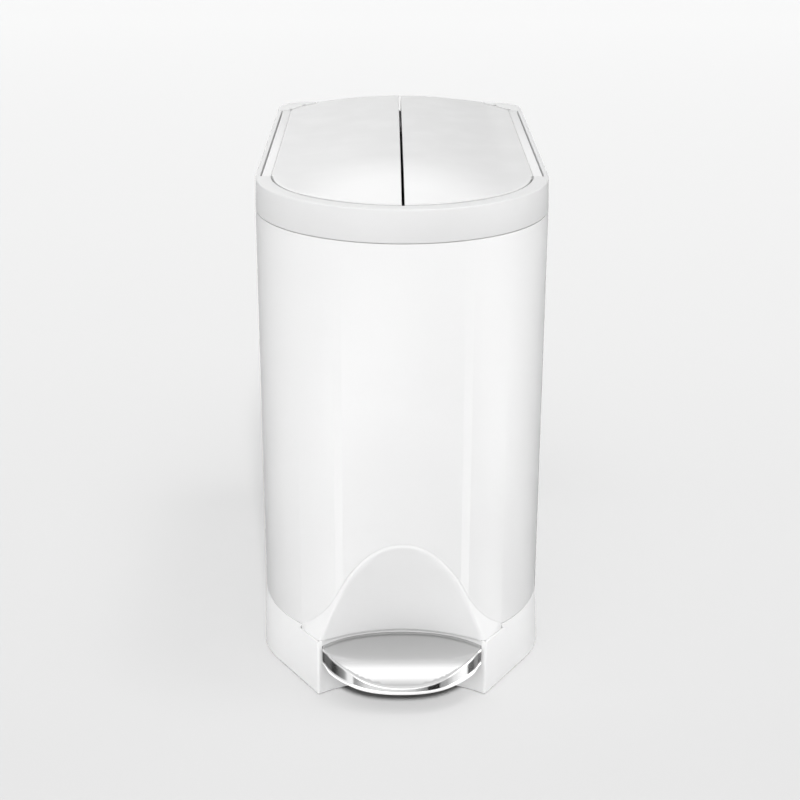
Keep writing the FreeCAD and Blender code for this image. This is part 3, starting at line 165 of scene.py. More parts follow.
def paint(name, v, rough, coat=0.0):
    """Stoved paint on sheet steel: a very slight orange peel under a gloss coat."""
    mat = bpy.data.materials.new(name)
    nt = clear(mat)
    p = principled(nt, IOR=1.5, Coat_Weight=coat, Coat_Roughness=0.12)
    co = mapped(nt)
    drift = noise(nt, co, 5.0, 2.0)
    link(nt, tint(nt, drift, grey(v * 0.994), grey(v * 1.006)), p.inputs["Base Color"])
    peel = noise(nt, co, 420.0, 2.0, 0.4)
    soft = noise(nt, co, 24.0, 2.0)
    link(nt, ramp(nt, soft, 0.3, 0.7, rough - 0.02, rough + 0.02), p.inputs["Roughness"])
    link(nt, bump(nt, peel, 0.10, 0.00003), p.inputs["Normal"])
    return mat


def metal(name, v, rough, stretch=(1, 1, 1), grain=300.0, strength=0.12, spread=0.08, depth=0.00003, aniso=0.0):
    """Metal with directional brushing: stretched noise drives gloss and bump."""
    mat = bpy.data.materials.new(name)
    nt = clear(mat)
    p = principled(nt, Metallic=1.0)
    if aniso:
        p.inputs["Anisotropic"].default_value = aniso
    co = mapped(nt, scale=stretch)
    streak = noise(nt, co, grain, 4.0, 0.6)
    cloud = noise(nt, mapped(nt), 30.0, 2.0)
    link(nt, tint(nt, cloud, grey(v * 0.985), grey(v * 1.015)), p.inputs["Base Color"])
    link(nt, ramp(nt, streak, 0.25, 0.75, rough - spread * 0.5, rough + spread * 0.5), p.inputs["Roughness"])
    link(nt, bump(nt, streak, strength, depth), p.inputs["Normal"])
    return mat


M = {
    "steel": paint("white_paint", 0.86, 0.30),
    "rim": plastic("rim_white", 0.80, 0.42),
    "wing": plastic("wing_white", 0.83, 0.20, strength=0.012, cloud=6.0),
    "strip": plastic("strip_white", 0.86, 0.40),
    "base": plastic("base_white", 0.88, 0.46, grain=1100.0),
    "panel": plastic("panel_white", 0.87, 0.42, grain=1100.0),
    # edge: the panel's white made darker, painted shade for the shaded band under the panel's lower edge
    "edge": plastic("panel_edge_painted_shade", 0.78, 0.5, grain=1100.0),
    "liner": plastic("liner_white", 0.72, 0.50, grain=700.0, strength=0.35),
    "bucket": plastic("bucket_grey", 0.10, 0.48, grain=500.0, strength=0.5, depth=0.00004, var=0.05),
    "cover": plastic("cover_grey", 0.09, 0.55, grain=600.0, strength=0.5, depth=0.00004, var=0.06),
    "nylon": plastic("natural_nylon", 0.62, 0.42, warm=0.03, var=0.03),
    "rubber": plastic("black_rubber", 0.028, 0.75, grain=800.0, strength=0.6, depth=0.00004, var=0.15),
    "zinc": metal("zinc_steel", 0.60, 0.34, stretch=(1, 1, 1), grain=260.0, strength=0.2, spread=0.16),
    "rod": metal("bright_rod", 0.66, 0.22, stretch=(1, 1, 0.03), grain=500.0, spread=0.10),
    "alu": metal("drawn_aluminium", 0.70, 0.30, stretch=(1, 1, 0.03), grain=500.0, spread=0.10),
    "brushed": metal("brushed_pedal_top", 0.61, 0.20, stretch=(0.02, 1, 1), grain=900.0, strength=0.08, spread=0.06),
    "polished": metal("polished_flange", 0.86, 0.08, stretch=(0.1, 1, 1), grain=400.0, strength=0.02, spread=0.02),
}

# --------------------------------------------------------------- mesh helpers
def mk(name, verts, faces, mats, body, rep=(), ang=32.0, mat_index=None, merge=1e-6, recalc=True):
    me = bpy.data.meshes.new(name)
    me.from_pydata([tuple(p) for p in P(verts)], [], [tuple(int(i) for i in f) for f in faces])
    if not isinstance(mats, (list, tuple)):
        mats = [mats]
    for m in mats:
        me.materials.append(m)
    if mat_index is not None:
        me.polygons.foreach_set("material_index", np.asarray(mat_index, np.int32))
    bm = bmesh.new()
    bm.from_mesh(me)
    if merge:
        bmesh.ops.remove_doubles(bm, verts=bm.verts, dist=merge)
    bmesh.ops.dissolve_degenerate(bm, dist=1e-7, edges=bm.edges)
    if recalc:
        bmesh.ops.recalc_face_normals(bm, faces=bm.faces)
    bm.to_mesh(me)
    bm.free()
    me.shade_smooth()
    me.set_sharp_from_angle(angle=math.radians(ang))
    ob = bpy.data.objects.new(name, me)
    bpy.context.scene.collection.objects.link(ob)
    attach(ob, body)
    if rep:
        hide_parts(*rep)
    return ob


class Soup:
    """Collects vertices and faces of several parts of one piece."""
    def __init__(self):
        self.v, self.f, self.m = [], [], []

    def add(self, verts, faces, m=0):
        k = len(self.v)
        self.v.extend([tuple(map(float, p)) for p in verts])
        self.f.extend([tuple(int(i) + k for i in f) for f in faces])
        self.m.extend([m] * len(faces))

    def sweep(self, cols, closed=True, caps=True, m=0, ring=True):
        """cols[i][j]: closed cross sections (ring) joined one to the next."""
        n, k = len(cols), len(cols[0])
        verts = [p for c in cols for p in c]
        faces = []
        for i in range(n if closed else n - 1):
            a, b = i * k, ((i + 1) % n) * k
            for j in range(k if ring else k - 1):
                j2 = (j + 1) % k
                faces.append((a + j, b + j, b + j2, a + j2))
        if not closed and caps and ring:
            faces.append(tuple(range(k)))
            faces.append(tuple(reversed(range((n - 1) * k, n * k))))
        self.add(verts, faces, m)


def spl(xs, ys):
    """Natural cubic spline through points, as a function."""
    x = np.asarray(xs, float)
    y = np.asarray(ys, float)
    n = len(x)
    h = np.diff(x)
    A = np.zeros((n, n))
    r = np.zeros(n)
    A[0, 0] = A[-1, -1] = 1
    for i in range(1, n - 1):
        A[i, i - 1], A[i, i], A[i, i + 1] = h[i - 1], 2 * (h[i - 1] + h[i]), h[i]
        r[i] = 6 * ((y[i + 1] - y[i]) / h[i] - (y[i] - y[i - 1]) / h[i - 1])
    m = np.linalg.solve(A, r)

    def f(q):
        q = np.asarray(q, float)
        i = np.clip(np.searchsorted(x, q) - 1, 0, n - 2)
        a, b = x[i + 1] - q, q - x[i]
        return (m[i] * a ** 3 + m[i + 1] * b ** 3) / (6 * h[i]) + (y[i] / h[i] - m[i] * h[i] / 6) * a \
            + (y[i + 1] / h[i] - m[i + 1] * h[i] / 6) * b
    return f


def curve(pts, n):
    """Smooth curve through points, n samples, even in arc length."""
    p = np.asarray(pts, float)
    t = np.r_[0, np.cumsum(np.linalg.norm(np.diff(p, axis=0), axis=1))]
    fs = [spl(t, p[:, k]) for k in range(p.shape[1])]
    d = np.linspace(0, t[-1], 1200)
    q = np.stack([f(d) for f in fs], 1)
    s = np.r_[0, np.cumsum(np.linalg.norm(np.diff(q, axis=0), axis=1))]
    w = np.linspace(0, s[-1], n)
    return np.stack([np.interp(w, s, q[:, k]) for k in range(p.shape[1])], 1)


def resample(p, n):
    p = np.asarray(p, float)
    s = np.r_[0, np.cumsum(np.linalg.norm(np.diff(p, axis=0), axis=1))]
    w = np.linspace(0, s[-1], n)
    return np.stack([np.interp(w, s, p[:, k]) for k in range(p.shape[1])], 1)


RB, BACK, RC = 88.0, 237.0, 22.0


def outline_cols(front_step=0.5, corner_step=3.0, straight=12.0, extra_y=(), extra_front=()):
    """Base points and outward normals round the body's outline, counter-clockwise from the front left."""
    B, N = [], []
    angs = sorted(set(list(np.arange(180.0, 360.0 + 1e-6, front_step)) + list(extra_front)))
    for a in angs:
        n = (math.cos(math.radians(a)), math.sin(math.radians(a)))
        B.append((RB * n[0], RB * n[1]))
        N.append(n)
    ys = [y for y in np.arange(straight, BACK - RC, straight)] + list(extra_y)
    for y in sorted(ys):
        B.append((RB, y)); N.append((1, 0))
    cs = np.arange(0, 90 + 1e-6, corner_step)
    for a in cs:
        n = (math.cos(math.radians(a)), math.sin(math.radians(a)))
        B.append((RB - RC + RC * n[0], BACK - RC + RC * n[1])); N.append(n)
    for x in np.arange(RB - RC - straight, -(RB - RC), -straight):
        B.append((x, BACK)); N.append((0, 1))
    for a in cs + 90:
        n = (math.cos(math.radians(a)), math.sin(math.radians(a)))
        B.append((-(RB - RC) + RC * n[0], BACK - RC + RC * n[1])); N.append(n)
    for y in sorted(ys, reverse=True):
        B.append((-RB, y)); N.append((-1, 0))
    return np.array(B), np.array(N)


def rnd(o0, z0, o1, z1, r, k=5, which="top_out"):
    """Quarter round points in (offset, z)."""
    out = []
    for i in range(k + 1):
        t = 0.5 * math.pi * i / k
        if which == "top_out":        # rising wall at o0 turning inwards at z1
            out.append((o0 + r - r * math.cos(t), z1 - r + r * math.sin(t)))
        elif which == "top_in":       # top at z1 turning down at o1
            out.append((o1 - r + r * math.sin(t), z1 - r + r * math.cos(t)))
        elif which == "bot_in":       # wall at o1 going down, turning outwards at z0
            out.append((o1 - r + r * math.cos(t), z0 + r - r * math.sin(t)))
        elif which == "bot_out":      # bottom at z0 turning up at o0
            out.append((o0 + r - r * math.sin(t), z0 + r - r * math.cos(t)))
    return out


def wall_section(o0, o1, z0, z1, r=0.25, rt=None, k=4):
    rt = r if rt is None else rt
    return (rnd(o0, z0, o1, z1, rt, k, "top_out") + rnd(o0, z0, o1, z1, r, k, "top_in")
            + rnd(o0, z0, o1, z1, r, k, "bot_in") + rnd(o0, z0, o1, z1, r, k, "bot_out"))


# ------------------------------------------------------------------ steel body
BELL = [(0.0, 108.2), (12.2, 105.4), (19.8, 99.9), (27.5, 91.3), (34.4, 80.9), (39.1, 71.2), (44.4, 61.3),
        (50.2, 53.3), (56.8, 46.2), (62.2, 41.9)]
_full = [(-x, z) for x, z in reversed(BELL[1:])] + BELL
_bc = curve(_full, 900)
BX, BZ = _bc[:, 0], _bc[:, 1]


def bell_z(x):
    return np.interp(x, BX, BZ)


STEEL_LOW, STEEL_HIGH = 41.2, 292.0
xb = np.unique(np.r_[np.linspace(0, 62.2, 125), 62.2, 62.201])
bell_angles = [270 + math.degrees(math.asin(x / RB)) for x in xb] + [270 - math.degrees(math.asin(x / RB)) for x in xb]
B, N = outline_cols(0.75, 3.0, 12.0, extra_front=bell_angles)
cols = []
for b, n in zip(B, N):
    zl = STEEL_LOW
    if b[1] < 0 and abs(b[0]) <= 62.2004:
        zl = max(float(bell_z(b[0])), STEEL_LOW)
    sec = wall_section(0.0, 0.8, zl, STEEL_HIGH, 0.2, k=2)
    cols.append([(b[0] - n[0] * o, b[1] - n[1] * o, z) for o, z in sec])
s = Soup()
s.sweep(cols, closed=True)
steel = mk("body_shell", s.v, s.f, M["steel"], "housing", ["steel_body"], ang=40)

# ------------------------------------------------------------------ base
FX, FY, CX, CY = -79.6, -35.5, -51.7, -79.4
_fl = math.hypot(FX - CX, FY - CY)
FD = np.array([(FX - CX) / _fl, (FY - CY) / _fl])
FN = np.array([FD[1], -FD[0]])
BAYR = 88.4
BAYC = np.array([0.0, -62.7 - BAYR])


def line_circle(p, d, c, r, pick):
    q = np.asarray(p) - np.asarray(c)
    b = q @ d
    disc = b * b - (q @ q - r * r)
    t = sorted([-b - math.sqrt(disc), -b + math.sqrt(disc)])[pick]
    return np.asarray(p) + t * np.asarray(d)


def arc_pts(c, r, a0, a1, n):
    t = np.radians(np.linspace(a0, a1, n))
    return np.stack([c[0] + r * np.cos(t), c[1] + r * np.sin(t)], 1)


def lin_pts(p, q, n):
    t = np.linspace(0, 1, n)[:, None]
    return np.asarray(p) * (1 - t) + np.asarray(q) * t


def half_base(level):
    """Left half of the base outline from the back's middle round to the bay's middle."""
    c0 = line_circle((CX, CY), FD, BAYC, BAYR, 0)
    if abs(c0[1] - CY) > 12:
        c0 = line_circle((CX, CY), FD, BAYC, BAYR, 1)
    if level:
        side, back, rc, ac, ar, sy = RB, BACK, RC, np.array([0.0, 0.0]), RB, 0.0
        f1 = line_circle((CX, CY), FD, ac, ar, 0)
        f2 = line_circle((CX, CY), FD, ac, ar, 1)
        f1 = f1 if f1[1] < f2[1] else f2
    else:
        side, back, rc, ar = RB + 1.6, BACK + 1.6, RC + 1.6, 60.7
        ac = np.array([-(RB + 1.6) + 60.7, -2.1])
        sy = -2.1
        f1 = ac - FN * ar
        t = (f1 - np.array([CX, CY])) @ FD
        f1 = np.array([CX, CY]) + FD * t
    af = math.degrees(math.atan2(f1[1] - ac[1], f1[0] - ac[0])) % 360
    return dict(side=side, back=back, rc=rc, ac=ac, ar=ar, sy=sy, f1=f1, c0=c0, af=af)


def base_outline(level):
    h = half_base(level)
    R = 1.7     # rounding of the two front corners
    segs = []
    segs.append(lin_pts((0, h["back"]), (-h["side"] + h["rc"], h["back"]), 8))
    segs.append(arc_pts((-h["side"] + h["rc"], h["back"] - h["rc"]), h["rc"], 90, 180, 25))
    segs.append(lin_pts((-h["side"], h["back"] - h["rc"]), (-h["side"], h["sy"]), 16))
    segs.append(arc_pts(h["ac"], h["ar"], 180, h["af"], 60))
    c0 = h["c0"]
    bl = math.degrees(math.atan2(c0[1] - BAYC[1], c0[0] - BAYC[0]))
    # fillet between facet and bay
    d1 = -FD                                    # towards the corner
    tb = np.array([math.sin(math.radians(bl)), -math.cos(math.radians(bl))])   # along the bay, away from the corner
    cosang = float(d1 @ tb)
    turn = math.acos(max(-1, min(1, cosang)))
    tr = R * math.tan(turn / 2)
    a = c0 - d1 * tr
    bang = bl - math.degrees(tr / BAYR)
    b = BAYC + BAYR * np.array([math.cos(math.radians(bang)), math.sin(math.radians(bang))])
    segs.append(lin_pts(h["f1"], a, 24))
    t = np.linspace(0, 1, 11)[:, None]
    segs.append((1 - t) ** 2 * a + 2 * t * (1 - t) * c0 + t * t * b)
    segs.append(arc_pts(BAYC, BAYR, bang, 90, 90))
    out = [segs[0]]
    for q in segs[1:]:
        out.append(q[1:])
    left = np.concatenate(out)
    right = left[::-1].copy()
    right[:, 0] *= -1
    return np.concatenate([left, right[1:-1]])


foot, topo = base_outline(0), base_outline(1)


def normals2(p):
    d = np.roll(p, -1, 0) - np.roll(p, 1, 0)
    d /= np.linalg.norm(d, axis=1)[:, None]
    return np.stack([d[:, 1], -d[:, 0]], 1)


nf, nt_ = normals2(foot), normals2(topo)
cen = np.array([0.0, 60.0])
if ((foot[0] - cen) @ nf[0]) < 0:
    nf, nt_ = -nf, -nt_
ZF, ZT, ZFR = 1.0, 40.8, 37.4


def base_pt(i, z, o):
    t = (z - ZF) / (ZT - ZF)
    p = foot[i] * (1 - t) + topo[i] * t
    n = nf[i] * (1 - t) + nt_[i] * t
    n = n / np.linalg.norm(n)
    return (p[0] - n[0] * o, p[1] - n[1] * o, z)


def base_top(i):
    x, y = topo[i]
    if y > -58.4 or abs(x) >= 62.3:
        return ZT
    bay = (abs(np.hypot(x - BAYC[0], y - BAYC[1]) - BAYR) < 0.02) and abs(x) < 49.1
    if not bay:
        return ZFR
    return 24.0 if abs(x) > 27.0 else 4.6


n = len(foot)
tops = [base_top(i) for i in range(n)]
cols = []
for i in range(n):
    zt = tops[i]
    r = 0.35
    sec = wall_section(0.0, 2.5, ZF, zt, r, k=3)
    col = [base_pt(i, z, o) for o, z in sec]
    cols.append(col)
    j = (i + 1) % n
    if abs(tops[j] - zt) > 0.5:
        # vertical step: repeat the neighbour's plan position with this column's height
        sec2 = wall_section(0.0, 2.5, ZF, zt, r, k=3)
        mid = []
        for o, z in sec2:
            a, b = base_pt(i, z, o), base_pt(j, z, o)
            mid.append(tuple(0.5 * (np.array(a) + np.array(b))))
        cols.append(mid)
        sec3 = wall_section(0.0, 2.5, ZF, tops[j], r, k=3)
        mid = []
        for o, z in sec3:
            a, b = base_pt(i, z, o), base_pt(j, z, o)
            mid.append(tuple(0.5 * (np.array(a) + np.array(b))))
        cols.append(mid)
s = Soup()
s.sweep(cols, closed=True)


def flat_plate(soup, outer, inner_list, z0, z1, m=0):
    """Plate between z0 and z1 with an outer loop and holes, by triangulation."""
    loops = [np.asarray(outer)] + [np.asarray(q) for q in inner_list]
    pts, edges, k = [], [], 0
    for L in loops:
        pts += [Vector((float(p[0]), float(p[1]))) for p in L]
        edges += [(k + i, k + (i + 1) % len(L)) for i in range(len(L))]
        k += len(L)
    vo, eo, fo, _a, _b, _c = delaunay_2d_cdt(pts, edges, [], 2, 1e-6)
    vo = np.array([tuple(v) for v in vo])
    # keep faces whose centre is inside the outer loop and outside the holes
    def inside(p, L):
        c = False
        for i in range(len(L)):
            a, b = L[i], L[(i + 1) % len(L)]
            if (a[1] > p[1]) != (b[1] > p[1]) and p[0] < (b[0] - a[0]) * (p[1] - a[1]) / (b[1] - a[1]) + a[0]:
                c = not c
        return c
    keep = []
    for f in fo:
        g = vo[list(f)].mean(0)
        if inside(g, loops[0]) and not any(inside(g, L) for L in loops[1:]):
            keep.append(f)
    nv = len(vo)
    verts = [(p[0], p[1], z1) for p in vo] + [(p[0], p[1], z0) for p in vo]
    faces = [tuple(f) for f in keep] + [tuple(i + nv for i in reversed(f)) for f in keep]
    cnt = {}
    for f in keep:
        for i in range(len(f)):
            e = (f[i], f[(i + 1) % len(f)])
            cnt[e] = 1
    for (a, b) in list(cnt):
        if (b, a) not in cnt:
            faces.append((b, a, a + nv, b + nv))
    soup.add(verts, faces, m)


# deck inside the base
def off_loop(o, front=3.0, corner=6.0):
    Bq, Nq = outline_cols(front, corner, 40.0)
    return Bq - Nq * o


def ring_circle(c, r, k=28):
    return arc_pts(c, r, 0, 360 * (k - 1) / k, k)


dk = off_loop(2.3)
dk = np.array([p for p in dk if not (p[1] < -58.4)])
i0 = int(np.argmin(dk[:, 0] + 1000 * (dk[:, 1] > 0)))
flat_plate(s, dk[np.argsort(np.arctan2(dk[:, 1] - 80, dk[:, 0]))], [ring_circle((-70.1, 205.0), 6.0), ring_circle((70.1, 205.0), 6.0), ring_circle((0, 212.0), 4.2)],
           38.3, 40.79)
# lugs of the pedal axle and screw posts
def add_box(soup, x0, x1, y0, y1, z0, z1, r=0.4, m=0):
    bm = bmesh.new()
    bmesh.ops.create_cube(bm, size=1.0)
    for v in bm.verts:
        v.co = Vector(((x0 + x1) / 2 + v.co.x * (x1 - x0), (y0 + y1) / 2 + v.co.y * (y1 - y0), (z0 + z1) / 2 + v.co.z * (z1 - z0)))
    if r:
        bmesh.ops.bevel(bm, geom=bm.edges[:], offset=r, offset_type="OFFSET", segments=2, profile=0.5, affect="EDGES")
    bm.verts.ensure_lookup_table()
    bm.verts.index_update()
    soup.add([tuple(v.co) for v in bm.verts], [tuple(v.index for v in f.verts) for f in bm.faces], m)
    bm.free()


def add_tube(soup, axis, c, r0, r1, length, k=48, m=0, e=0.25):
    """Tube (r1 > 0) or bar about an axis from c, with broken edges."""
    sec = []
    if r1 > 0:
        sec = [(r0, e), (r0, length - e), (r0 - e, length), (r1 + e, length), (r1, length - e), (r1, e), (r1 + e, 0), (r0 - e, 0)]
    cols = []
    for i in range(k):
        t = 2 * math.pi * i / k
        ct, st = math.cos(t), math.sin(t)
        cc = sec if r1 > 0 else [(0.0, 0.0), (r0 - e, 0), (r0, e), (r0, length - e), (r0 - e, length), (0.0, length)]
        col = []
        for rr, h in cc:
            if axis == "Z":
                col.append((c[0] + rr * ct, c[1] + rr * st, c[2] + h))
            elif axis == "X":
                col.append((c[0] + h, c[1] + rr * ct, c[2] + rr * st))
            else:
                col.append((c[0] + rr * st, c[1] + h, c[2] + rr * ct))
        cols.append(col)
    soup.sweep(cols, closed=True, ring=(r1 > 0), m=m)


for sx in (-1, 1):
    x0, x1 = sorted((sx * 24.0, sx * 29.0))
    add_box(s, x0, x1, -4.5, 13.5, 6.0, 38.6, 0.4)
for p in [(-58.0, -20.0), (58.0, -20.0), (-60.0, 190.0), (60.0, 190.0)]:
    add_tube(s, "Z", (p[0], p[1], 3.6), 4.0, 1.5, 35.0, 28)
# upstand inside the steel
up = []
Bq, Nq = outline_cols(3.0, 6.0, 30.0)
sel = [k for k in range(len(Bq)) if not (Bq[k][1] < 0 and abs(Bq[k][0]) < 63.0)]
start = max(range(len(sel)), key=lambda q: (sel[q] - sel[q - 1]) % len(Bq))
sel = sel[start:] + sel[:start]
for k in sel:
    b, nn = Bq[k], Nq[k]
    up.append([(b[0] - nn[0] * o, b[1] - nn[1] * o, z) for o, z in wall_section(1.1, 3.3, 40.5, 49.3, 0.3, k=2)])
s.sweep(up, closed=False)
base = mk("base_shell", s.v, s.f, M["base"], "housing", ["base"], ang=38)

# ------------------------------------------------------------------ arch panel
A88 = 88.0
CREST = [(.577, -.885, .425), (.522, -.895, .55), (.478, -.905, .67), (.412, -.925, .83), (.352, -.948, .95),
         (.261, -.972, 1.07), (.17, -.990, 1.15), (.088, -1.0, 1.191), (0, -1.003, 1.205)]
DEPTH = [(.425, .712), (.55, .757), (.67, .80), (.83, .857), (.95, .902), (1.07, .95), (1.15, .978), (1.205, 1.003)]
dz = spl([a * A88 for a, _ in DEPTH], [b * A88 for _, b in DEPTH])
# crest curve from the bottom left over the top to the bottom right
cl = [(-x * A88, y * A88, z * A88) for x, y, z in CREST]
cr = [(-x, y, z) for x, y, z in reversed(cl[:-1])]
crest = curve(cl + cr, 241)
zc0 = 37.7
# k(z): widening of the hollow either side of the centre line
ks, kz = [], []
for x, y, z in CREST[:-2]:
    zz = z * A88
    kz.append(zz)
    ks.append((-(y * A88) - float(dz(zz))) / (x * A88) ** 2)
kz, ks = np.array(kz), np.array(ks)
kf = np.polyfit(kz, ks, 2)


def hollow_y(x, z):
    """Y of the hollow's surface."""
    return -(dz(z) + np.polyval(kf, np.clip(z, 37, 104)) * np.asarray(x) ** 2)


# steel edge curve matched to the crest
R0 = RB - 0.35
half_n = 121
bell_half = np.stack([BX[BX <= 0], BZ[BX <= 0]], 1)           # left foot to top
bell_half = bell_half[np.argsort(bell_half[:, 0])]


def grow(p, g):
    d = np.gradient(p, axis=0)
    d /= np.linalg.norm(d, axis=1)[:, None]
    return p + np.stack([-d[:, 1], d[:, 0]], 1) * g


edge_half = grow(bell_half, -0.3)
edge_half[-1, 0] = 0.0
left_c = crest[:half_n]
# match: same height below 88 mm, then evenly to the top
E = np.zeros((half_n, 3))
sC = np.r_[0, np.cumsum(np.linalg.norm(np.diff(left_c, axis=0), axis=1))]
zs = left_c[:, 2]
i88 = int(np.argmin(abs(zs - 88.0)))
eh_s = np.r_[0, np.cumsum(np.linalg.norm(np.diff(edge_half, axis=0), axis=1))]
e88 = np.interp(88.0, edge_half[:, 1], eh_s)
low_z = edge_half[0, 1]
for i in range(half_n):
    z = zs[i]
    if i <= i88:
        if z >= low_z:
            q = np.interp(z, edge_half[:, 1], eh_s)
            x, ze = np.interp(q, eh_s, edge_half[:, 0]), z
            E[i] = (x, -math.sqrt(R0 ** 2 - x * x), ze)
        else:
            x = edge_half[0, 0]
            t = (abs(x) - abs(left_c[i, 0])) / (65.2 - abs(left_c[i, 0]))
            yy = left_c[i, 1] * (1 - t) + (-58.6) * t
            w = np.clip((low_z - z) / 1.2, 0, 1)
            E[i] = (x, -math.sqrt(R0 ** 2 - x * x) * (1 - w) + yy * w, z)
    else:
        t = (sC[i] - sC[i88]) / (sC[-1] - sC[i88])
        q = e88 + (eh_s[-1] - e88) * t
        x, ze = np.interp(q, eh_s, edge_half[:, 0]), np.interp(q, eh_s, edge_half[:, 1])
        E[i] = (x, -math.sqrt(R0 ** 2 - x * x), ze)
Eall = np.concatenate([E, E[::-1][1:] * np.array([-1, 1, 1])])
# inner start of the hollow: crest moved inwards in X-Z
c2 = crest[:, [0, 2]]
dd = np.gradient(c2, axis=0)
dd /= np.linalg.norm(dd, axis=1)[:, None]
inn = np.stack([dd[:, 1], -dd[:, 0]], 1)      # to the right of the direction of travel: inside
w_in = 2.6
C_in = c2 + inn * w_in
C_in[:, 1] = np.maximum(C_in[:, 1], zc0)
C_in[0, 1] = C_in[-1, 1] = zc0
bot_shift = np.clip((c2[:, 1] - zc0) / 3.0, 0, 1)
Cin3 = np.stack([C_in[:, 0], hollow_y(C_in[:, 0], C_in[:, 1]), C_in[:, 1]], 1)
w_out = 1.6
dirE = Eall - crest
LE = np.linalg.norm(dirE, axis=1)
w_o = np.minimum(w_out, LE * 0.55)
Cout3 = crest + dirE / LE[:, None] * w_o[:, None]
rows = []
# behind the steel
back_r = RB - 1.15
hid = Eall.copy()
g2 = grow(bell_half, 2.2)
hid2 = np.array([[x, 0, z] for x, z in resample(g2, half_n)])
hidx = []
for i in range(half_n):
    e = Eall[i]
    nx, nz = (-0.6, 0.8) if i < half_n - 1 else (0, 1)
    j = int(np.argmin((edge_half[:, 0] - e[0]) ** 2 + (edge_half[:, 1] - e[2]) ** 2))
    g = grow(edge_half[max(j - 3, 0):j + 4], 1.0) - edge_half[max(j - 3, 0):j + 4]
    v = g[min(3, len(g) - 1)]
    hx, hz = e[0] + v[0] * 2.0, e[2] + v[1] * 2.0
    if e[2] < low_z + 0.2:
        hx, hz = e[0] - 0.0, e[2]
        hidx.append((hx, e[1] + 2.0, hz))
    else:
        hidx.append((hx, -math.sqrt(max(back_r ** 2 - hx * hx, 0)), hz))
hid = np.array(hidx)
hid = np.concatenate([hid, hid[::-1][1:] * np.array([-1, 1, 1])])
rows.append(hid)
rows.append(Eall)
for t in (0.35, 0.7):
    rows.append(Eall * (1 - t) + Cout3 * t)
for t in np.linspace(0, 1, 9):
    rows.append((1 - t) ** 2 * Cout3 + 2 * t * (1 - t) * crest + t * t * Cin3)
rows = [np.asarray(r) for r in rows]
for r in rows[1:]:
    r[0, 2] = r[-1, 2] = zc0
s = Soup()
cols = [[tuple(r[i]) for r in rows] for i in range(len(crest))]
s.sweep(cols, closed=False, caps=False, ring=False)
# hollow: triangulated, height field
bd = Cin3[:, [0, 2]]
m0 = len(bd)
botx = np.r_[np.linspace(48.1, 47.3, 4), np.linspace(46.5, -46.5, 60), np.linspace(-47.3, -48.1, 4)]
pts = [Vector(map(float, p)) for p in bd] + [Vector((float(x), zc0 - float(np.clip((48.2 - abs(x)) / 0.9, 0, 1)))) for x in botx]
edges = [(i, (i + 1) % len(pts)) for i in range(len(pts))]
poly = np.array([tuple(p) for p in pts])


def in_poly(px, pz, L):
    c = np.zeros(px.shape, bool)
    for i in range(len(L)):
        a, b = L[i], L[(i + 1) % len(L)]
        if a[1] == b[1]:
            continue
        cond = ((a[1] > pz) != (b[1] > pz)) & (px < (b[0] - a[0]) * (pz - a[1]) / (b[1] - a[1]) + a[0])
        c ^= cond
    return c


def dist_poly(px, pz, L):
    d = np.full(px.shape, 1e9)
    for i in range(len(L)):
        a, b = L[i], L[(i + 1) % len(L)]
        ab = b - a
        q = np.clip(((px - a[0]) * ab[0] + (pz - a[1]) * ab[1]) / max(ab @ ab, 1e-12), 0, 1)
        d = np.minimum(d, np.hypot(px - a[0] - q * ab[0], pz - a[1] - q * ab[1]))
    return d


gx, gz = np.meshgrid(np.arange(-49, 49.1, 1.75), np.arange(38.4, 106, 1.75))
gx, gz = gx.ravel(), gz.ravel()
ok = in_poly(gx, gz, poly)
gx, gz = gx[ok], gz[ok]
ok = dist_poly(gx, gz, poly) > 0.7
gx, gz = gx[ok], gz[ok]
allp = pts + [Vector((float(a), float(b))) for a, b in zip(gx, gz)]
vo, eo, fo, _a, _b, _c = delaunay_2d_cdt(allp, edges, [], 1, 1e-7)
vo = np.array([tuple(v) for v in vo])
s.add([(x, float(hollow_y(x, z)), z) for x, z in vo], [tuple(f) for f in fo])
panel = mk("arch_recess", s.v, s.f, M["panel"], "housing", ["arch_panel"], ang=60, merge=2e-5)
sol = panel.modifiers.new("thick", "SOLIDIFY")
sol.thickness = 0.0018
sol.offset = -1.0
sol.use_even_offset = False
# return behind the lower edge, down to just above the pedal; its darker plastic is painted shade for the shaded band
# under the panel's lower edge
cols = []
for x in np.linspace(-49.0, 49.0, 99):
    sec = []
    for r_, top in ((88.95, True), (90.55, True), (90.55, False), (88.95, False)):
        y = BAYC[1] + math.sqrt(r_ * r_ - x * x)
        low_ = -10.56 + math.sqrt(45.88 ** 2 - (y + 64.68) ** 2)
        sec.append((x, y, 38.2 if top else low_))
    cols.append(sec)
s = Soup()
s.sweep(cols, closed=False)
lip = mk("arch_return", s.v, s.f, M["edge"], "housing", ang=40)

# ------------------------------------------------------------------ top rim
RIM_LOW, RIM_HIGH, RI, YE, RFY = 292.4, 311.5, 78.5, -6.2, 202.4
rcn = [(78.75, 202.4), (78.4, 206.2), (75.4, 213.6), (69.6, 223.4), (65.0, 229.6), (61.1, 233.6)]
blk = curve(rcn, 80)
aE = math.degrees(math.asin(-YE / RB))          # outer angle of the straight cut


DRAFT = 0.5


